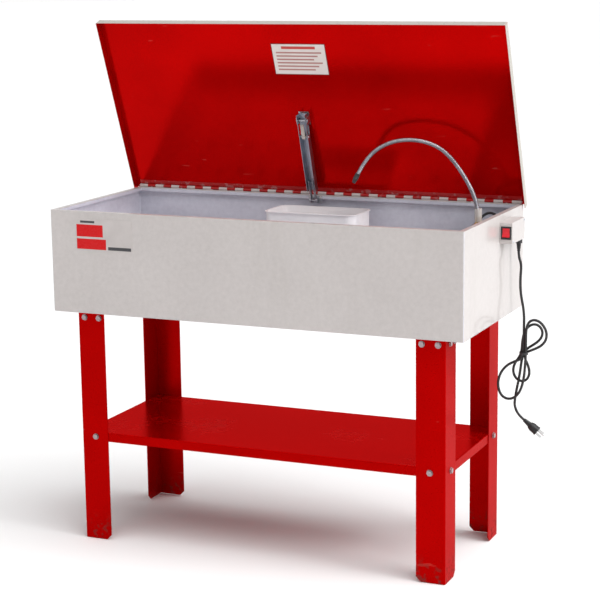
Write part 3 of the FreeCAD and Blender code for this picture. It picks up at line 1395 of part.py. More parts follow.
# ---- mains lead, in the washer's own frame -----------------------------------------------
CORD_ROUTE = [
    (GLAND_X + SHIFT.x, GLAND_Y + SHIFT.y, RELIEF_LOW),
    (GLAND_X + SHIFT.x, GLAND_Y + SHIFT.y, 808.0),
    (607.0, 132.0, 784.0),
    (603.0, 135.0, 750.0),
    (603.0, 138.0, 708.0),
    (612.0, 144.0, 655.0),
    (612.0, 144.0, 612.0),
]
TAIL_ROUTE = [
    (588.0, 147.0, 410.0),
    (587.0, 147.0, 396.0),
    (592.0, 148.0, 379.0),
    (602.0, 149.0, 365.0),
    (613.0, 150.0, 356.0),
]


def route(points):
    return [Vector(*p) for p in points]


def oval(centre_x, centre_z, half_x, half_z):
    """An upright oval slab across the depth of the tied loops, given its middle and half sizes."""
    ring = Part.Ellipse(Vector(0, 0, 0), max(half_x, half_z), min(half_x, half_z)).toShape()
    face = Part.Face(Part.Wire(ring))
    if half_z > half_x:
        face.rotate(Vector(0, 0, 0), Z, 90)
    slab = face.extrude(Vector(0, 0, HANK_Y1 - HANK_Y0))
    slab.rotate(Vector(0, 0, 0), X, 90)
    slab.translate(Vector(centre_x, HANK_Y1, centre_z))
    return slab


WAIST_TOP = Vector(*CORD_ROUTE[-1])


def cord_hank():
    """The outer shape of the tied loops: a waist, one loop above and two below."""
    waist = rod(WAIST_R, WAIST_TOP, Vector(WAIST_TOP.x, WAIST_TOP.y, WAIST_LOW))
    tail_start = Vector(*TAIL_ROUTE[0])
    heading = Vector(*TAIL_ROUTE[1]).sub(tail_start).normalize()
    end = rod(CORD_R + HANK_TAIL_LIP, tail_start.sub(heading * HANK_TAIL_RUN), tail_start)
    return joined([waist, oval(*HANK_UPPER), oval(*HANK_LOWER), oval(*HANK_SMALL), end])


def cord_tie():
    low = Vector(WAIST_TOP.x, WAIST_TOP.y, TIE_Z)
    ring = rod(WAIST_R + TIE_LIP, low, low.add(Z * TIE_HEIGHT))
    twist = block(low.x - TIE_TWIST_HALF, low.x + TIE_TWIST_HALF, low.y - WAIST_R - TIE_TWIST_OUT, low.y,
                  TIE_Z, TIE_Z + TIE_HEIGHT)
    return joined([ring, twist]).cut(rod(WAIST_R, low.sub(Z), low.add(Z * (TIE_HEIGHT + PAST))))


PLUG_AT = Vector(*TAIL_ROUTE[-1])
PLUG_HEADING = PLUG_AT.sub(Vector(*TAIL_ROUTE[-2])).normalize()


def plug_point(along):
    return PLUG_AT.add(PLUG_HEADING * along)


def plug_body():
    neck = cone(CORD_R + PAST, PLUG_NECK_R, plug_point(0), plug_point(PLUG_NECK_END))
    body = cone(PLUG_SHOULDER_R, PLUG_R, plug_point(PLUG_SHOULDER), plug_point(PLUG_BODY_START))
    face = rod(PLUG_R, plug_point(PLUG_BODY_START), plug_point(PLUG_FACE))
    return joined([neck, body, face])


def plug_prongs():
    side = Y.cross(PLUG_HEADING).normalize()
    corner = Vector(-PRONG_WIDTH / 2, -PRONG_SHEET / 2, 0)
    made = []
    for s in (-1, 1):
        blade = Part.makeBox(PRONG_WIDTH, PRONG_SHEET, PRONG_LENGTH, corner)
        blade.Placement = FreeCAD.Placement(Vector(0, 0, 0), FreeCAD.Rotation(Z, PLUG_HEADING))
        blade.translate(plug_point(PLUG_FACE).add(side * (s * PRONG_HALF_SPACING)))
        made.append(blade)
    out = Y * EARTH_OUT
    made.append(rod(EARTH_R, plug_point(PLUG_FACE).add(out), plug_point(PLUG_FACE + EARTH_LENGTH).add(out)))
    return group(made)


# ---- plain marks on the tank ----------------------------------------------------------------
def badge_plate():
    y = -HALF_Y
    return block(BADGE_X - BADGE_LENGTH / 2, BADGE_X + BADGE_LENGTH / 2, y - BADGE_SHEET, y,
                 BADGE_Z - BADGE_HEIGHT / 2, BADGE_Z + BADGE_HEIGHT / 2)


def build():
    keep("tank_shell", tank_shell())
    legs_and_fasteners()
    keep("storage_shelf", storage_shelf())
    keep("lid_panel", open_lid(lid_panel()))
    keep("hinge_leaf_lid", open_lid(lid_leaf()))
    keep("lid_rivets", open_lid(group(lid_leaf_rivets() + stay_rivets_on_lid())))
    keep("hinge_leaf_tank", tank_leaf())
    keep("tank_rivets", group(tank_leaf_rivets() + foot_bracket_rivets()))
    keep("hinge_pin", hinge_pin())
    keep("stay_lid_bracket", open_lid(lid_bracket()))
    keep("stay_lid_pin", open_lid(lid_pin()))
    keep("label_plate", open_lid(label_plate()))
    keep("stay_channel", place_stay(stay_channel()))
    keep("stay_link", place_stay(stay_link()))
    keep("stay_rivets", place_stay(stay_rivets()))
    keep("fusible_link", place_stay(fusible_link()))
    keep("stay_foot_bracket", foot_bracket())
    keep("stay_foot_pin", cross_pin(FOOT_EAR_HALF + FOOT_EAR, stay_foot().y, stay_foot().z))
    keep("work_shelf_ledges", group([shelf_ledge(-1), shelf_ledge(1)]))
    keep("work_shelf", work_shelf())
    keep("parts_tray", parts_tray())
    keep("drain_socket", drain_socket())
    keep("drain_gasket", drain_gasket())
    keep("drain_plug", drain_plug())
    keep("pump_base", pump_base())
    keep("pump_housing", pump_housing())
    keep("pump_cap", pump_cap())
    keep("small_screws", group(pump_screws() + cover_screws() + box_screws() + [spout_screw()]))
    keep("pump_motor_stator", motor_stator())
    keep("pump_rotor_shaft", pump_shaft())
    keep("pump_impeller", impeller())
    keep("pump_hose", pump_hose())
    keep("hose_clamps", hose_clamps())
    keep("pump_lead", pump_lead())
    keep("wall_grommet", wall_grommet())
    keep("spout_bracket", spout_bracket())
    keep("spout_manifold", spout_manifold())
    keep("spout_sleeve", spout_sleeve())
    keep("spout_swivel", spout_swivel())
    keep("spout_gooseneck", gooseneck())
    keep("spout_nozzle", spout_nozzle())
    keep("switch_box", switch_box())
    keep("switch_cover", switch_cover())
    keep("rocker_bezel", rocker_bezel())
    keep("rocker_button", rocker())
    keep("cord_gland", cord_gland())
    keep("cord_strain_relief", strain_relief())
    keep("badge_plate", badge_plate())
    keep("mains_cord", tube(route(CORD_ROUTE), CORD_R, "mains cord"), cord=True)
    keep("mains_cord_hank", cord_hank(), cord=True)
    keep("cord_tie", cord_tie(), cord=True)
    keep("mains_cord_tail", tube(route(TAIL_ROUTE), CORD_R, "cord tail"), cord=True)
    keep("mains_plug", plug_body(), cord=True)
    keep("plug_prongs", plug_prongs(), cord=True)


def write_all():
    os.makedirs("parts", exist_ok=True)
    for node, shape in NODES.items():
        shape.exportStep("parts/" + node + ".step")


build()
write_all()
print("nodes", len(NODES), "shift", tuple(round(c, 3) for c in SHIFT))
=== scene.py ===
import bpy
import math
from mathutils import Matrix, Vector


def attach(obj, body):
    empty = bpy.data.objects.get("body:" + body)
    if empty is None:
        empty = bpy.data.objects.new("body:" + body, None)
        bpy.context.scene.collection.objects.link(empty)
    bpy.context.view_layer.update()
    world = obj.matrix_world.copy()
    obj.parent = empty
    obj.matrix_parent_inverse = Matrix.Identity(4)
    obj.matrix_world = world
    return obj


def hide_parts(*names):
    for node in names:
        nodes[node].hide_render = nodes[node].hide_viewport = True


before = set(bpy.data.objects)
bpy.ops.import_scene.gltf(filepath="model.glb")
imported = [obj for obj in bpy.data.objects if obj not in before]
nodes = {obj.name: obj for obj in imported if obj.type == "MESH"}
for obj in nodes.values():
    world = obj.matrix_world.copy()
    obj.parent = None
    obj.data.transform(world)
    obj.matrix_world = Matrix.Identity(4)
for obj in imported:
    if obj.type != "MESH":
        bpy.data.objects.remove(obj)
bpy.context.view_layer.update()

# A parts washer: a grey steel tank on red angle legs, its red lid propped open.
# Metres, +Z up, the person using it stands on the -Y side.


# ---- the room: camera, light, floor ------------------------------------------------
FLOOR_SIZE = 600.0
FLOOR_DROP = 0.0015
SKY_WHITE = (0.98, 0.98, 0.98, 1.0)
SKY_GREY = (0.40, 0.40, 0.40, 1.0)
SKY_WHITE_UP_TO = 0.03
SKY_GREY_FROM = 0.30


def set_camera():
    data = bpy.data.cameras.new("camera")
    data.sensor_width = 36.0
    data.lens = 106.7
    data.clip_end = 60.0
    camera = bpy.data.objects.new("camera", data)
    camera.location = (1.94053, -4.36161, 1.61391)
    camera.rotation_euler = (1.376187, 0.013138, 0.41203)
    bpy.context.collection.objects.link(camera)
    bpy.context.scene.camera = camera


def soft_light(name, place, aim, size, power):
    data = bpy.data.lights.new(name, "AREA")
    data.shape = "RECTANGLE"
    data.size, data.size_y = size
    data.energy = power
    lamp = bpy.data.objects.new(name, data)
    lamp.location = place
    lamp.rotation_euler = (Vector(aim) - Vector(place)).to_track_quat("-Z", "Y").to_euler()
    bpy.context.collection.objects.link(lamp)


def daylight(name, from_where, strength, spread):
    """Even light over the whole floor, soft as from a wide panel, coming from a direction."""
    data = bpy.data.lights.new(name, "SUN")
    data.energy = strength
    data.angle = spread
    lamp = bpy.data.objects.new(name, data)
    lamp.rotation_euler = (-Vector(from_where)).to_track_quat("-Z", "Y").to_euler()
    bpy.context.collection.objects.link(lamp)


def hang_sky():
    """White at the horizon, where it meets the floor, and a dimmer grey overhead."""
    world = bpy.data.worlds.new("room")
    world.use_nodes = True
    tree = world.node_tree
    sky = tree.nodes["Background"]
    where = tree.nodes.new("ShaderNodeTexCoord")
    parts = tree.nodes.new("ShaderNodeSeparateXYZ")
    ramp = tree.nodes.new("ShaderNodeValToRGB")
    low, high = ramp.color_ramp.elements
    low.position, high.position = SKY_WHITE_UP_TO, SKY_GREY_FROM
    low.color, high.color = SKY_WHITE, SKY_GREY
    tree.links.new(where.outputs["Generated"], parts.inputs[0])
    tree.links.new(parts.outputs["Z"], ramp.inputs[0])
    tree.links.new(ramp.outputs["Color"], sky.inputs["Color"])
    bpy.context.scene.world = world


def set_room():
    bpy.context.scene.view_settings.view_transform = "Standard"
    hang_sky()
    daylight("ceiling", (0.42, -0.12, 0.90), 2.7, math.radians(65))
    soft_light("key", (4.2, -0.4, 2.7), (0.2, 0.0, 0.7), (1.8, 1.8), 95.0)
    soft_light("strip", (-1.5, -2.35, 3.4), (0.0, 0.3, 1.15), (2.2, 0.55), 9.0)


def lay_floor():
    bpy.ops.object.select_all(action="DESELECT")
    bpy.ops.mesh.primitive_plane_add(size=FLOOR_SIZE, location=(0, 0, -FLOOR_DROP))
    floor = bpy.context.object
    floor.name = "floor"
    paint = Finish("floor_paint")
    paint.set({"Base Color": (0.88, 0.88, 0.88, 1.0), "Roughness": 0.95, "Specular IOR Level": 0.1})
    floor.data.materials.append(paint.material)
    settle(floor)


# ---- finishes ------------------------------------------------------------------------
class Shade:
    """A number or a colour in a finish, so that a pattern is written as plain sums."""

    def __init__(self, finish, socket):
        self.finish = finish
        self.socket = socket

    def __add__(self, other):
        return self.finish.sum("ADD", self, other)

    def __radd__(self, other):
        return self.finish.sum("ADD", other, self)

    def __sub__(self, other):
        return self.finish.sum("SUBTRACT", self, other)

    def __rsub__(self, other):
        return self.finish.sum("SUBTRACT", other, self)

    def __mul__(self, other):
        return self.finish.sum("MULTIPLY", self, other)

    def __rmul__(self, other):
        return self.finish.sum("MULTIPLY", other, self)

    def size(self):
        return self.finish.sum("ABSOLUTE", self, 0.0)

    def least(self, other):
        return self.finish.sum("MINIMUM", self, other)

    def most(self, other):
        return self.finish.sum("MAXIMUM", self, other)

    def wrap(self, step):
        """The remainder after whole steps, always positive."""
        return self.finish.sum("FLOORED_MODULO", self, step)

    def above(self, edge, soft=0.0005):
        """1 where this is above the edge and 0 below it, with a soft change."""
        sockets = {"Value": self, "From Min": edge - soft, "From Max": edge + soft}
        return self.finish.node("ShaderNodeMapRange", {"interpolation_type": "SMOOTHSTEP"}, sockets)

    def between(self, low, high, soft=0.0005):
        return self.above(low, soft) * (1 - self.above(high, soft))


class Finish:
    """A paint, metal, plastic or rubber, on one shader."""

    def __init__(self, name):
        self.material = bpy.data.materials.new(name)
        self.material.use_nodes = True
        self.tree = self.material.node_tree
        self.shader = self.tree.nodes["Principled BSDF"]
        self.coords = None

    def node(self, kind, settings=None, sockets=None, out=0):
        made = self.tree.nodes.new(kind)
        for name, value in (settings or {}).items():
            if name == "stops":
                stops = made.color_ramp.elements
                while len(stops) < len(value):
                    stops.new(1.0)
                for stop, (place, colour) in zip(stops, value):
                    stop.position = place
                    stop.color = colour
            else:
                setattr(made, name, value)
        for name, value in (sockets or {}).items():
            if isinstance(value, Shade):
                self.tree.links.new(value.socket, made.inputs[name])
            else:
                made.inputs[name].default_value = value
        return Shade(self, made.outputs[out])

    def sum(self, operation, a, b):
        return self.node("ShaderNodeMath", {"operation": operation}, {0: a, 1: b})

    def place(self):
        """Where a point is on the piece, in metres."""
        if self.coords is None:
            self.coords = self.node("ShaderNodeTexCoord", out="Object")
        return self.coords

    def axes(self):
        parts = self.node("ShaderNodeSeparateXYZ", {}, {0: self.place()})
        split = parts.socket.node
        return [Shade(self, split.outputs[i]) for i in range(3)]

    def stretched(self, scale, turn=(0.0, 0.0, 0.0)):
        return self.node("ShaderNodeMapping", {}, {"Vector": self.place(), "Scale": scale, "Rotation": turn})

    def noise(self, scale, detail=3.0, rough=0.5, where=None):
        sockets = {"Vector": where or self.place(), "Scale": scale, "Detail": detail, "Roughness": rough}
        return self.node("ShaderNodeTexNoise", {}, sockets)

    def mix(self, amount, a, b):
        return self.node("ShaderNodeMix", {"data_type": "RGBA"}, {0: amount, 6: a, 7: b}, out=2)

    def relief(self, height, depth, strength=1.0, under=None):
        sockets = {"Height": height, "Distance": depth, "Strength": strength}
        if under:
            sockets["Normal"] = under
        return self.node("ShaderNodeBump", {}, sockets)

    def set(self, sockets):
        for name, value in sockets.items():
            if isinstance(value, Shade):
                self.tree.links.new(value.socket, self.shader.inputs[name])
            else:
                self.shader.inputs[name].default_value = value
        return self


def tone(r, g, b):
    return (r, g, b, 1.0)


GREY_LIGHT = tone(0.575, 0.535, 0.522)
GREY_DARK = tone(0.425, 0.390, 0.380)
GREY_STAIN = tone(0.36, 0.33, 0.30)
# painted shade: a bluer copy of the tank's grey for its inside walls, which are the same paint as the outside
INNER_SHADE_PALE = tone(0.64, 0.645, 0.72)
INNER_SHADE_DEEP = tone(0.46, 0.46, 0.54)
RED_BRIGHT = tone(0.56, 0.0008, 0.0008)
RED_DEEP = tone(0.40, 0.0005, 0.0005)
RED_SHADE = tone(0.14, 0.0005, 0.0005)
# painted light: the brighter red painted on the storage shelf's flat top, as if lit from above
RED_TOP_LIGHT = tone(1.0, 0.002, 0.002)
RED_SCUFF = tone(0.60, 0.05, 0.04)
RED_GLOSS = tone(1.0, 0.04, 0.03)
BARE_STEEL = tone(0.42, 0.41, 0.40)
LID_OUTER_TINT = tone(0.34, 0.335, 0.27)
RUST = tone(0.16, 0.06, 0.03)

# where the steelwork's faces are
SHEET = 0.0015
MIDDLE_X = -0.014
MIDDLE_Y = -0.003
HALF_LENGTH = 0.590
HALF_WIDTH = 0.2525
TANK_FLOOR = 0.650
RIM_Z = 0.930
SHELF_TOP = 0.308
HINGE_Y = 0.247005
HINGE_Z = 0.935
LID_LEAN = math.radians(21.5)
LID_SKIN = 0.00575
LID_HALF_LENGTH = 0.59825
LID_REACH = 0.52525
LABEL_UP = 0.413
BADGE_X = -0.439
BADGE_Z = 0.868


def grey_coat(paint):
    """Light grey stove enamel: cloudy, finely speckled, with faint streaks of old solvent."""
    cloud = paint.noise(5.0, 4.0)
    mottle = paint.noise(75.0, 5.0, 0.6)
    speck = paint.noise(420.0, 2.0)
    even = cloud * 0.45 + mottle * 0.8 - 0.25 + speck * 0.18
    coat = paint.mix(even.most(0.0).least(1.0), GREY_DARK, GREY_LIGHT)
    runs = paint.stretched((1.0, 1.0, 0.12))
    streak = paint.noise(9.0, 4.0, 0.6, runs).above(0.62, 0.09)
    stain = streak * 0.22
    return paint.mix(stain, coat, GREY_STAIN), mottle, speck


def red_coat(paint):
    """Gloss red enamel: deep in its clouds, with fine dust and a few pale scuffs."""
    cloud = paint.noise(3.5, 3.0)
    fine = paint.noise(260.0, 3.0)
    coat = paint.mix((cloud * 1.6 - 0.3).most(0.0).least(1.0), RED_DEEP, RED_BRIGHT)
    strokes = paint.stretched((0.25, 3.0, 1.0), (0.3, 0.5, 0.9))
    scratch = paint.noise(55.0, 2.0, 0.5, strokes).above(0.73, 0.02)
    rub = scratch * paint.noise(6.0, 2.0).above(0.55, 0.08)
    return paint.mix(rub * 0.6, coat, RED_SCUFF), fine, cloud


def tank_enamel():
    """The tank's grey: rubbed rim and corners outside; inside, tide marks over painted shade, a bluer copy of
    the same grey.
    """
    paint = Finish("tank_enamel")
    coat, mottle, speck = grey_coat(paint)
    x, y, z = paint.axes()
    along = (x - MIDDLE_X).size()
    across = (y - MIDDLE_Y).size()
    rub = z.above(RIM_Z - 0.0025, 0.0015) * paint.noise(38.0, 4.0).above(0.60, 0.05)
    corner = along.above(HALF_LENGTH - SHEET, 0.001) * across.above(HALF_WIDTH - SHEET, 0.001)
    chip = (corner * paint.noise(95.0, 3.0).above(0.60, 0.03)).most(rub)
    half_sheet = 0.0007
    side = along.above(HALF_LENGTH - half_sheet, 0.0002).most(across.above(HALF_WIDTH - half_sheet, 0.0002))
    underside = 1 - z.above(TANK_FLOOR + 0.0008, 0.0002)
    inside = (1 - side.most(underside)) * (1 - z.above(RIM_Z - SHEET, 0.0002))
    levels = paint.stretched((1.0, 1.0, 2.5))
    tide = paint.noise(6.0, 4.0, 0.6, levels).above(0.55, 0.10)
    # painted shade: the inside walls get the bluer copy of the grey, with real tide marks mixed into it
    inside_shade_and_tide = paint.mix((mottle * 0.9 + tide * 0.3 - 0.2).most(0.0).least(1.0), INNER_SHADE_PALE, INNER_SHADE_DEEP)
    coat = paint.mix(inside, coat, inside_shade_and_tide)
    coat = paint.mix(chip * 0.75, coat, BARE_STEEL)
    rough = 0.26 + mottle * 0.16 + chip * 0.15
    skin = paint.relief(mottle * 0.7 + speck * 0.3, 0.0006, 0.35)
    return paint.set({"Base Color": coat, "Roughness": rough, "Normal": skin, "Coat Weight": 0.5,
                      "Coat Roughness": 0.06})


def plain_grey(name, light, dark, rough):
    """A single-colour enamel with wet patches, for what stands inside the tank."""
    paint = Finish(name)
    cloud = paint.noise(14.0, 4.0)
    fine = paint.noise(380.0, 3.0)
    coat = paint.mix((cloud * 1.3 - 0.15).least(1.0), dark, light)
    wet = paint.noise(7.0, 5.0, 0.65).above(0.58, 0.08)
    coat = paint.mix(wet * 0.30, coat, GREY_STAIN)
    skin = paint.relief(fine, 0.0004, 0.3)
    return paint.set({"Base Color": coat, "Roughness": rough + fine * 0.12 - wet * 0.10, "Normal": skin})


def frame_enamel():
    """The legs' red, scuffed and dirty just above the floor."""
    paint = Finish("frame_enamel")
    coat, fine, _ = red_coat(paint)
    z = paint.axes()[2]
    foot = (1 - z.above(0.045, 0.04)) * paint.noise(60.0, 4.0).above(0.56, 0.06)
    coat = paint.mix(0.30, coat, RED_SHADE)
    coat = paint.mix(foot * 0.55, coat, tone(0.10, 0.035, 0.03))
    skin = paint.relief(fine, 0.00035, 0.35)
    rough = 0.24 + fine * 0.10 + foot * 0.3
    return paint.set({"Base Color": coat, "Roughness": rough, "Metallic": 0.6 - foot * 0.5, "Normal": skin,
                      "Specular IOR Level": 0.05, "Specular Tint": RED_GLOSS})


def shelf_enamel():
    """The storage shelf's red, with rings where cans stood, and painted light making its flat top the
    brightest.
    """
    paint = Finish("shelf_enamel")
    coat, fine, cloud = red_coat(paint)
    z = paint.axes()[2]
    ring = paint.noise(4.0, 2.0).above(0.57, 0.05) * paint.noise(40.0, 4.0).above(0.52, 0.06)
    coat = paint.mix(ring * 0.25, coat, RED_DEEP)
    skin = paint.relief(fine + cloud * 0.5, 0.00045, 0.35)
    # painted light: the flat top is painted a brighter red and made more metallic than the shelf's other
    # faces
    painted_light_top = z.above(SHELF_TOP - 0.001, 0.0003)
    coat = paint.mix(painted_light_top * 0.75, paint.mix(0.30, coat, RED_SHADE), RED_TOP_LIGHT)
    rough = 0.20 + fine * 0.08 + ring * 0.10
    return paint.set({"Base Color": coat, "Roughness": rough, "Metallic": 0.6 + painted_light_top * 0.3 - ring * 0.08,
                      "Normal": skin, "Specular IOR Level": 0.05, "Specular Tint": RED_GLOSS})


def up_the_lid(y, z):
    """How far up the open lid a point is from its hinge."""
    return (z - HINGE_Z) * math.cos(LID_LEAN) - (y - HINGE_Y) * math.sin(LID_LEAN)


def lid_enamel():
    """Red inside the pan, the tank's grey on its outer faces."""
    paint = Finish("lid_enamel")
    red, fine, _ = red_coat(paint)
    grey, mottle, _ = grey_coat(paint)
    x, y, z = paint.axes()
    out = (y - HINGE_Y) * math.cos(LID_LEAN) + (z - HINGE_Z) * math.sin(LID_LEAN)
    outside = out.above(LID_SKIN, 0.0004).most((x - MIDDLE_X).size().above(LID_HALF_LENGTH, 0.0003))
    outside = outside.most(up_the_lid(y, z).above(LID_REACH, 0.0003))
    coat = paint.mix(outside, red, paint.mix(0.45, grey, LID_OUTER_TINT))
    skin = paint.relief(fine * (1 - outside) + mottle * outside, 0.0005, 0.35)
    rough = 0.09 + fine * 0.05 + outside * (mottle * 0.25 + 0.06)
    return paint.set({"Base Color": coat, "Roughness": rough, "Metallic": (1 - outside) * 0.5, "Normal": skin,
                      "Specular IOR Level": 0.12, "Specular Tint": RED_GLOSS})


def hinge_enamel(name, coat_colour):
    """The hinge's paint, worn through a little in scattered patches."""
    paint = Finish(name)
    fine = paint.noise(300.0, 3.0)
    worn = paint.noise(45.0, 4.0).above(0.60, 0.04)
    coat = paint.mix(worn * 0.25, coat_colour, BARE_STEEL)
    skin = paint.relief(fine, 0.0003, 0.3)
    return paint.set({"Base Color": coat, "Roughness": 0.30 + worn * 0.12, "Normal": skin})


def zinc_plate(name="zinc_plate", light=(0.62, 0.64, 0.68), dark=(0.36, 0.37, 0.40), rough=0.30):
    """A plated or plain drawn metal: cloudy, finely drawn, with a few specks of rust."""
    metal = Finish(name)
    cloud = metal.noise(30.0, 4.0)
    grain = metal.noise(240.0, 2.0, 0.5, metal.stretched((6.0, 6.0, 0.5)))
    coat = metal.mix((cloud * 1.5 - 0.25).most(0.0).least(1.0), tone(*dark), tone(*light))
    rust = metal.noise(70.0, 5.0, 0.7).above(0.70, 0.03)
    coat = metal.mix(rust * 0.6, coat, RUST)
    skin = metal.relief(grain, 0.0002, 0.4)
    return metal.set({"Base Color": coat, "Metallic": 1.0 - rust * 0.8, "Normal": skin,
                      "Roughness": rough + grain * 0.14 + rust * 0.3})


def brass_metal():
    """Turned brass, dulled in patches."""
    metal = Finish("brass_metal")
    cloud = metal.noise(60.0, 4.0)
    turned = metal.noise(900.0, 2.0, 0.5, metal.stretched((0.6, 0.6, 5.0)))
    coat = metal.mix((cloud * 1.6 - 0.3).most(0.0).least(1.0), tone(0.40, 0.26, 0.10), tone(0.74, 0.58, 0.28))
    skin = metal.relief(turned, 0.00015, 0.4)
    return metal.set({"Base Color": coat, "Metallic": 1.0, "Roughness": 0.26 + cloud * 0.16, "Normal": skin})


def plastic(name, colour, pale, rough=0.42, grain_size=900.0, depth=0.0003):
    """Moulded plastic or rubber with a fine grain and some settled dust."""
    stuff = Finish(name)
    grain = stuff.noise(grain_size, 3.0, 0.55)
    cloud = stuff.noise(18.0, 3.0)
    dust = stuff.noise(90.0, 4.0).above(0.60, 0.10)
    coat = stuff.mix(cloud * 0.35 + dust * 0.25, tone(*colour), tone(*pale))
    skin = stuff.relief(grain, depth, 0.45)
    return stuff.set({"Base Color": coat, "Roughness": rough + grain * 0.15 + dust * 0.08, "Normal": skin})


def clear_vinyl():
    """Clear hose, clouded a little by age."""
    stuff = Finish("clear_vinyl")
    cloud = stuff.noise(40.0, 3.0)
    coat = stuff.mix(cloud, tone(0.80, 0.72, 0.66), tone(0.92, 0.88, 0.84))
    skin = stuff.relief(stuff.noise(160.0, 2.0), 0.0004, 0.3)
    return stuff.set({"Base Color": coat, "Roughness": 0.12 + cloud * 0.1, "Alpha": 0.38 + cloud * 0.15,
                      "Normal": skin, "Coat Weight": 0.3})


def motor_metal():
    """The motor's stack of thin steel plates."""
    metal = Finish("motor_metal")
    z = metal.axes()[2]
    plates = z.wrap(0.0016).between(0.0003, 0.0012, 0.0002)
    cloud = metal.noise(50.0, 4.0)
    coat = metal.mix((plates * 0.6 + cloud * 0.5).least(1.0), tone(0.10, 0.10, 0.10), tone(0.34, 0.34, 0.35))
    skin = metal.relief(plates, 0.0003, 0.6)
    return metal.set({"Base Color": coat, "Metallic": 0.7, "Roughness": 0.42 + cloud * 0.15, "Normal": skin})


def plate_print(name, ground, across, up, bars, border=None):
    """A plain printed plate: a ground, an outline and blank bars where words would be."""
    paint = Finish(name)
    x, y, z = paint.axes()
    u = across(x, y, z)
    v = up(x, y, z)
    fine = paint.noise(300.0, 3.0)
    cloud = paint.noise(20.0, 3.0)
    coat = paint.mix((cloud * 1.2 - 0.1).least(1.0), ground[0], ground[1])
    for left, right, low, high, colour in bars:
        mask = u.between(left, right, 0.0004) * v.between(low, high, 0.0004)
        coat = paint.mix(mask * (0.94 + fine * 0.10).least(1.0), coat, tone(*colour))
    if border:
        half_u, half_v, wide, colour = border
        rim = u.size().above(half_u - wide, 0.0003).most(v.size().above(half_v - wide, 0.0003))
        coat = paint.mix(rim, coat, tone(*colour))
    skin = paint.relief(fine, 0.0002, 0.3)
    return paint.set({"Base Color": coat, "Roughness": 0.34 + fine * 0.12, "Normal": skin,
                      "Specular IOR Level": 0.15})


# ---- workshop helpers ------------------------------------------------------------------
def settle(piece):
    """Puts a finished piece's object at the origin, its place in its mesh."""
    bpy.ops.object.select_all(action="DESELECT")
    piece.select_set(True)
    bpy.context.view_layer.objects.active = piece
    bpy.ops.object.transform_apply(location=True, rotation=True, scale=True)


def dress(piece, finish, body, replaced=()):
    piece.data.materials.clear()
    piece.data.materials.append(finish.material)
    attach(piece, body)
    if replaced:
        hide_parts(*replaced)


def coat_nodes(finish, *names):
    for name in names:
        node = nodes[name]
        node.data.materials.clear()
        node.data.materials.append(finish.material)


def line_curve(name, points, order=3):
    """An open smooth line with these control points."""
    data = bpy.data.curves.new(name, "CURVE")
    data.dimensions = "3D"
    line = data.splines.new("NURBS")
    line.points.add(len(points) - 1)
    for spot, point in zip(line.points, points):
        spot.co = (*point, 1.0)
    line.order_u = order
    line.use_endpoint_u = True
    line.resolution_u = 12
    piece = bpy.data.objects.new(name, data)
    bpy.context.collection.objects.link(piece)
    return piece


def turned(name, profile, foot, heading, sides=32):
    """A solid turned on a lathe: its outline as (height, radius) steps, stood at foot along heading."""
    low, first = profile[0]
    bpy.ops.object.select_all(action="DESELECT")
    bpy.ops.mesh.primitive_circle_add(vertices=sides, radius=first, fill_type="NGON", location=(0, 0, low))
    piece = bpy.context.object
    piece.name = name
    bpy.ops.object.mode_set(mode="EDIT")
    for (here, wide), (there, next_wide) in zip(profile, profile[1:]):
        bpy.ops.mesh.extrude_region_move(TRANSFORM_OT_translate={"value": (0, 0, there - here)})
        scale = next_wide / wide
        bpy.ops.transform.resize(value=(scale, scale, 1), center_override=(0, 0, there))
    bpy.ops.mesh.select_all(action="SELECT")
    bpy.ops.mesh.normals_make_consistent(inside=False)
    bpy.ops.object.mode_set(mode="OBJECT")
    bpy.ops.object.shade_smooth_by_angle(angle=math.radians(40))
    piece.rotation_euler = Vector(heading).to_track_quat("Z", "Y").to_euler()
    piece.location = foot
    settle(piece)
    return piece


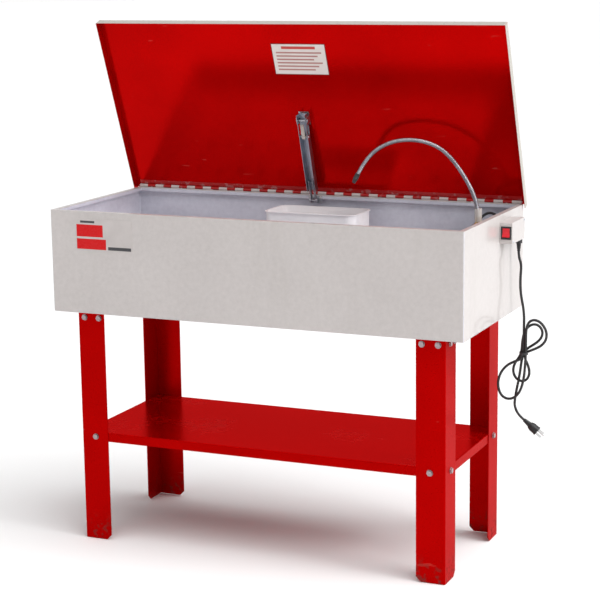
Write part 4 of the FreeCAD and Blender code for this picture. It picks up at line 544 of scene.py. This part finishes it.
# ---- the mains lead ----------------------------------------------------------------------
LEAD_DIAMETER = 0.007
LEAD_ROUTE = [
    # down from the strain relief
    (0.5990, 0.1310, 0.8230), (0.5990, 0.1310, 0.8080), (0.6070, 0.1320, 0.7840), (0.6030, 0.1350, 0.7500),
    (0.6030, 0.1380, 0.7080), (0.6120, 0.1440, 0.6550), (0.6120, 0.1440, 0.6120), (0.6115, 0.1445, 0.5750),
    # through the tie and round the big lower loop
    (0.6110, 0.1440, 0.5440), (0.6050, 0.1420, 0.5250), (0.5880, 0.1400, 0.5180), (0.5690, 0.1385, 0.5080),
    (0.5530, 0.1380, 0.4900), (0.5440, 0.1375, 0.4680), (0.5430, 0.1370, 0.4450), (0.5500, 0.1370, 0.4250),
    (0.5640, 0.1370, 0.4140), (0.5810, 0.1375, 0.4140), (0.5970, 0.1380, 0.4250), (0.6080, 0.1390, 0.4450),
    (0.6140, 0.1400, 0.4720), (0.6170, 0.1410, 0.5050), (0.6185, 0.1415, 0.5400), (0.6185, 0.1410, 0.5750),
    # the big upper loop
    (0.6190, 0.1400, 0.6040), (0.6240, 0.1390, 0.6260), (0.6370, 0.1385, 0.6365), (0.6540, 0.1385, 0.6345),
    (0.6680, 0.1390, 0.6220), (0.6765, 0.1400, 0.6030), (0.6740, 0.1420, 0.5830), (0.6630, 0.1440, 0.5680),
    (0.6480, 0.1460, 0.5580), (0.6310, 0.1480, 0.5500), (0.6150, 0.1510, 0.5420),
    # the small lower loop
    (0.6130, 0.1520, 0.5250), (0.6220, 0.1530, 0.5080), (0.6270, 0.1530, 0.4870), (0.6210, 0.1530, 0.4690),
    (0.6080, 0.1535, 0.4610), (0.5930, 0.1540, 0.4640), (0.5820, 0.1545, 0.4770), (0.5795, 0.1545, 0.4950),
    (0.5860, 0.1540, 0.5130), (0.5980, 0.1530, 0.5290), (0.6045, 0.1510, 0.5470), (0.6060, 0.1500, 0.5740),
    # the small upper loop
    (0.6110, 0.1510, 0.5990), (0.6220, 0.1530, 0.6150), (0.6370, 0.1540, 0.6220), (0.6520, 0.1540, 0.6180),
    (0.6610, 0.1540, 0.6040), (0.6590, 0.1545, 0.5880), (0.6490, 0.1550, 0.5750), (0.6350, 0.1560, 0.5640),
    (0.6210, 0.1580, 0.5550), (0.6090, 0.1575, 0.5420),
    # and out to the plug
    (0.6030, 0.1560, 0.5200), (0.6010, 0.1510, 0.4920), (0.5970, 0.1475, 0.4620), (0.5915, 0.1465, 0.4340),
    (0.5880, 0.1470, 0.4100), (0.5870, 0.1470, 0.3960), (0.5920, 0.1480, 0.3790), (0.6020, 0.1490, 0.3650),
    (0.6130, 0.1500, 0.3560),
]


def mains_lead():
    """The whole lead as one smooth line, from the strain relief through its tied loops to the plug."""
    lead = line_curve("mains_lead", LEAD_ROUTE)
    lead.data.bevel_depth = LEAD_DIAMETER / 2
    lead.data.bevel_resolution = 5
    sheath = plastic("lead_sheath", (0.006, 0.006, 0.007), (0.022, 0.022, 0.022), 0.36, 1200.0)
    dress(lead, sheath, "stand", ("mains_cord", "mains_cord_hank", "mains_cord_tail"))
    fittings = [mains_plug(), strain_relief(), "plug_prongs", "cord_tie"]


GLAND_FOOT = (0.5990, 0.131005, 0.8430)
RELIEF_WIDE = 0.0064
RELIEF_RINGS = 5
RELIEF_PITCH = 0.0036
PLUG_RINGS = 5
PLUG_RING_PITCH = 0.0034


def strain_relief():
    """The moulded tail under the gland, with rings that let it bend a little everywhere."""
    profile = [(0.0, RELIEF_WIDE), (0.0012, RELIEF_WIDE)]
    for ring in range(RELIEF_RINGS):
        low = 0.0022 + ring * RELIEF_PITCH
        wide = RELIEF_WIDE - ring * 0.00042
        groove = wide - 0.0012
        profile += [(low, groove), (low + 0.0010, groove), (low + 0.0014, wide - 0.0002),
                    (low + 0.0032, wide - 0.0003)]
    profile.append((0.0210, 0.0042))
    relief = turned("strain_relief", profile, GLAND_FOOT, (0, 0, -1), 24)
    rubber = plastic("relief_rubber", (0.007, 0.007, 0.008), (0.025, 0.025, 0.025), 0.42)
    dress(relief, rubber, "stand", ("cord_strain_relief",))
    return relief


def mains_plug():
    """The moulded plug: a ringed neck, a waist to hold it by and a broad face."""
    profile = [(0.0, 0.0042), (0.002, 0.0052)]
    for ring in range(PLUG_RINGS):
        low = 0.003 + ring * PLUG_RING_PITCH
        wide = 0.0058 + ring * 0.0005
        groove = wide - 0.0013
        profile += [(low, wide), (low + 0.0020, wide), (low + 0.0024, groove), (low + 0.0032, groove)]
    profile += [(0.0205, 0.0088), (0.0250, 0.0108), (0.0300, 0.0122), (0.0345, 0.0126), (0.0350, 0.0118),
                (0.0375, 0.0118), (0.0380, 0.0128), (0.0405, 0.0128), (0.0410, 0.0119), (0.0430, 0.0119),
                (0.0435, 0.0129), (0.0480, 0.0129)]
    foot = Vector(LEAD_ROUTE[-1])
    heading = (foot - Vector(LEAD_ROUTE[-2])).normalized()
    plug = turned("mains_plug_body", profile, foot, heading)
    rubber = plastic("plug_rubber", (0.006, 0.006, 0.007), (0.025, 0.025, 0.025), 0.38)
    dress(plug, rubber, "stand", ("mains_plug",))
    return plug


set_camera()
mains_lead()
set_room()
lay_floor()


# ---- finishes on the steelwork ---------------------------------------------------------------
grey = tank_enamel()
inner_grey = plain_grey("inner_enamel", tone(0.76, 0.755, 0.79), tone(0.56, 0.555, 0.60), 0.34)
red = frame_enamel()
zinc = zinc_plate()
black = plastic("black_moulding", (0.010, 0.010, 0.012), (0.045, 0.045, 0.05), 0.36)
brass = brass_metal()
vinyl = clear_vinyl()

coat_nodes(grey, "tank_shell", "switch_box", "switch_cover", "leg_brackets")
coat_nodes(red, "leg_front_left", "leg_front_right", "leg_rear_left", "leg_rear_right")
coat_nodes(shelf_enamel(), "storage_shelf")
coat_nodes(lid_enamel(), "lid_panel")
coat_nodes(hinge_enamel("hinge_red", RED_DEEP), "hinge_leaf_lid", "lid_rivets")
coat_nodes(hinge_enamel("hinge_grey", GREY_LIGHT), "hinge_leaf_tank", "tank_rivets")
coat_nodes(inner_grey, "work_shelf", "work_shelf_ledges", "spout_bracket")
coat_nodes(plain_grey("tray_enamel", tone(0.88, 0.87, 0.87), tone(0.70, 0.69, 0.72), 0.30), "parts_tray")
coat_nodes(zinc_plate("bolt_zinc", (0.50, 0.44, 0.45), (0.28, 0.22, 0.23), 0.34), "hex_bolts", "hex_nuts")
coat_nodes(zinc, "hinge_pin", "stay_foot_bracket", "stay_foot_pin", "stay_lid_bracket",
           "stay_lid_pin", "stay_rivets", "small_screws", "hose_clamps")
coat_nodes(zinc_plate("stay_zinc", (0.46, 0.50, 0.56), (0.24, 0.27, 0.32), 0.28), "stay_channel", "stay_link")
coat_nodes(zinc_plate("soft_solder", (0.60, 0.58, 0.52), (0.40, 0.38, 0.34), 0.42), "fusible_link")
coat_nodes(brass, "drain_socket", "drain_plug", "spout_manifold", "spout_swivel")
coat_nodes(zinc_plate("prong_nickel", (0.72, 0.72, 0.72), (0.50, 0.50, 0.50), 0.18), "plug_prongs")
coat_nodes(black, "pump_base", "pump_housing", "pump_cap", "cord_gland", "rocker_bezel", "cord_tie")
soft_rubber = plastic("soft_rubber", (0.016, 0.016, 0.018), (0.05, 0.05, 0.05), 0.5)
coat_nodes(soft_rubber, "drain_gasket", "wall_grommet", "pump_lead")
coat_nodes(vinyl, "pump_hose", "spout_sleeve")
coat_nodes(motor_metal(), "pump_motor_stator", "pump_rotor_shaft")
coat_nodes(plastic("nylon", (0.72, 0.71, 0.66), (0.60, 0.58, 0.52), 0.4), "pump_impeller")
rocker_red = plastic("rocker_red", (0.60, 0.006, 0.018), (0.66, 0.03, 0.04), 0.22, 1500.0, 0.0001)
coat_nodes(rocker_red, "rocker_button")


def lid_plate():
    """The instruction plate inside the lid, with blank bars for its lines."""
    half_u, half_v = 0.080, 0.046
    ink = (0.55, 0.07, 0.06)
    bars = [(-0.050, 0.050, 0.030, 0.038, ink)]
    for row in range(6):
        edge = 0.066 - 0.012 * (row % 3)
        low = 0.017 - 0.010 * row
        bars.append((-0.068, edge, low, low + 0.0045, (0.45, 0.22, 0.20)))
    base = (tone(0.80, 0.74, 0.70), tone(0.70, 0.63, 0.60))
    outline = (half_u, half_v, 0.0018, (0.16, 0.03, 0.03))
    return plate_print("lid_plate", base, lambda x, y, z: x - MIDDLE_X,
                       lambda x, y, z: up_the_lid(y, z) - LABEL_UP, bars, outline)


def front_badge():
    """The mark plate on the tank's front, with plain blocks and no mark."""
    ink = (0.56, 0.004, 0.006)
    dark = (0.06, 0.06, 0.065)
    bars = [(-0.084, -0.003, -0.0060, 0.0270, ink), (-0.084, 0.006, -0.0400, -0.0115, ink),
            (-0.072, -0.028, 0.0315, 0.0375, dark), (0.012, 0.082, -0.0400, -0.0310, dark)]
    return plate_print("front_badge", (GREY_LIGHT, GREY_DARK), lambda x, y, z: x - BADGE_X,
                       lambda x, y, z: z - BADGE_Z, bars)


coat_nodes(lid_plate(), "label_plate")
coat_nodes(front_badge(), "badge_plate")

# ---- the bendy spout -----------------------------------------------------------------------
SPOUT_Y = 0.122005
SPOUT_LINE = [
    (0.4890, SPOUT_Y, 0.8960), (0.4890, SPOUT_Y, 0.9480), (0.4530, SPOUT_Y, 1.0150),
    (0.4040, SPOUT_Y, 1.0770), (0.3560, SPOUT_Y, 1.1040), (0.2860, SPOUT_Y, 1.1130),
    (0.2180, SPOUT_Y, 1.0960), (0.1720, SPOUT_Y, 1.0600), (0.1450, SPOUT_Y, 1.0110),
]
RIB_SIDES = 20
RIB_PITCH = 0.0030
RIB_TOP = 0.0061
RIB_SHOULDER = 0.0058
RIB_ROOT = 0.0051


def gooseneck():
    """The spout's flexible steel tube: one rounded rib, repeated and laid along the bent line."""
    line = line_curve("spout_line", SPOUT_LINE, 4)
    line.data.splines[0].resolution_u = 24
    ribs = int(line.data.splines[0].calc_length() / RIB_PITCH)
    bpy.ops.object.select_all(action="DESELECT")
    bpy.ops.mesh.primitive_circle_add(vertices=RIB_SIDES, radius=RIB_ROOT, rotation=(0, math.radians(90), 0))
    tube = bpy.context.object
    tube.name = "spout_ribbed_tube"
    bpy.ops.object.transform_apply(location=True, rotation=True, scale=True)
    bpy.ops.object.mode_set(mode="EDIT")
    outline = [RIB_ROOT, RIB_SHOULDER, RIB_TOP, RIB_TOP, RIB_SHOULDER, RIB_ROOT]
    step = RIB_PITCH / (len(outline) - 1)
    for here, there in zip(outline, outline[1:]):
        bpy.ops.mesh.extrude_region_move(TRANSFORM_OT_translate={"value": (step, 0, 0)})
        scale = there / here
        bpy.ops.transform.resize(value=(1, scale, scale), center_override=(0, 0, 0))
    bpy.ops.mesh.select_all(action="SELECT")
    bpy.ops.mesh.normals_make_consistent(inside=False)
    bpy.ops.object.mode_set(mode="OBJECT")
    row = tube.modifiers.new("row", "ARRAY")
    row.count = ribs
    row.use_relative_offset = False
    row.use_constant_offset = True
    row.constant_offset_displace = (RIB_PITCH, 0, 0)
    row.use_merge_vertices = True
    row.merge_threshold = 0.0001
    bpy.ops.object.modifier_apply(modifier=row.name)
    bend = tube.modifiers.new("bend", "CURVE")
    bend.object = line
    bend.deform_axis = "POS_X"
    bpy.ops.object.modifier_apply(modifier=bend.name)
    bpy.ops.object.shade_smooth_by_angle(angle=math.radians(50))
    bpy.data.objects.remove(line, do_unlink=True)
    steel = zinc_plate("spout_steel", (0.50, 0.50, 0.53), (0.22, 0.22, 0.25), 0.20)
    dress(tube, steel, "spout", ("spout_gooseneck",))
    return tube


TIP_RINGS = 6
TIP_RING_PITCH = 0.0021


def spout_tip():
    """The nozzle screwed on the gooseneck: a knurled grip, a shoulder and a tapered mouth."""
    end = Vector(SPOUT_LINE[-1])
    heading = (end - Vector(SPOUT_LINE[-2])).normalized()
    profile = [(-0.0140, 0.0064), (-0.0136, 0.0073)]
    for ring in range(TIP_RINGS):
        low = -0.0128 + ring * TIP_RING_PITCH
        profile += [(low, 0.0074), (low + 0.0007, 0.0066), (low + 0.0013, 0.0066)]
    profile += [(0.0002, 0.0075), (0.0016, 0.0075), (0.0030, 0.0064), (0.0100, 0.0054), (0.0134, 0.0050),
                (0.0140, 0.0044), (0.0140, 0.0030), (0.0110, 0.0029)]
    tip = turned("spout_tip", profile, end, heading)
    finish = plastic("tip_moulding", (0.022, 0.022, 0.024), (0.09, 0.09, 0.095), 0.30)
    dress(tip, finish, "spout", ("spout_nozzle",))
    return tip


gooseneck()
spout_tip()
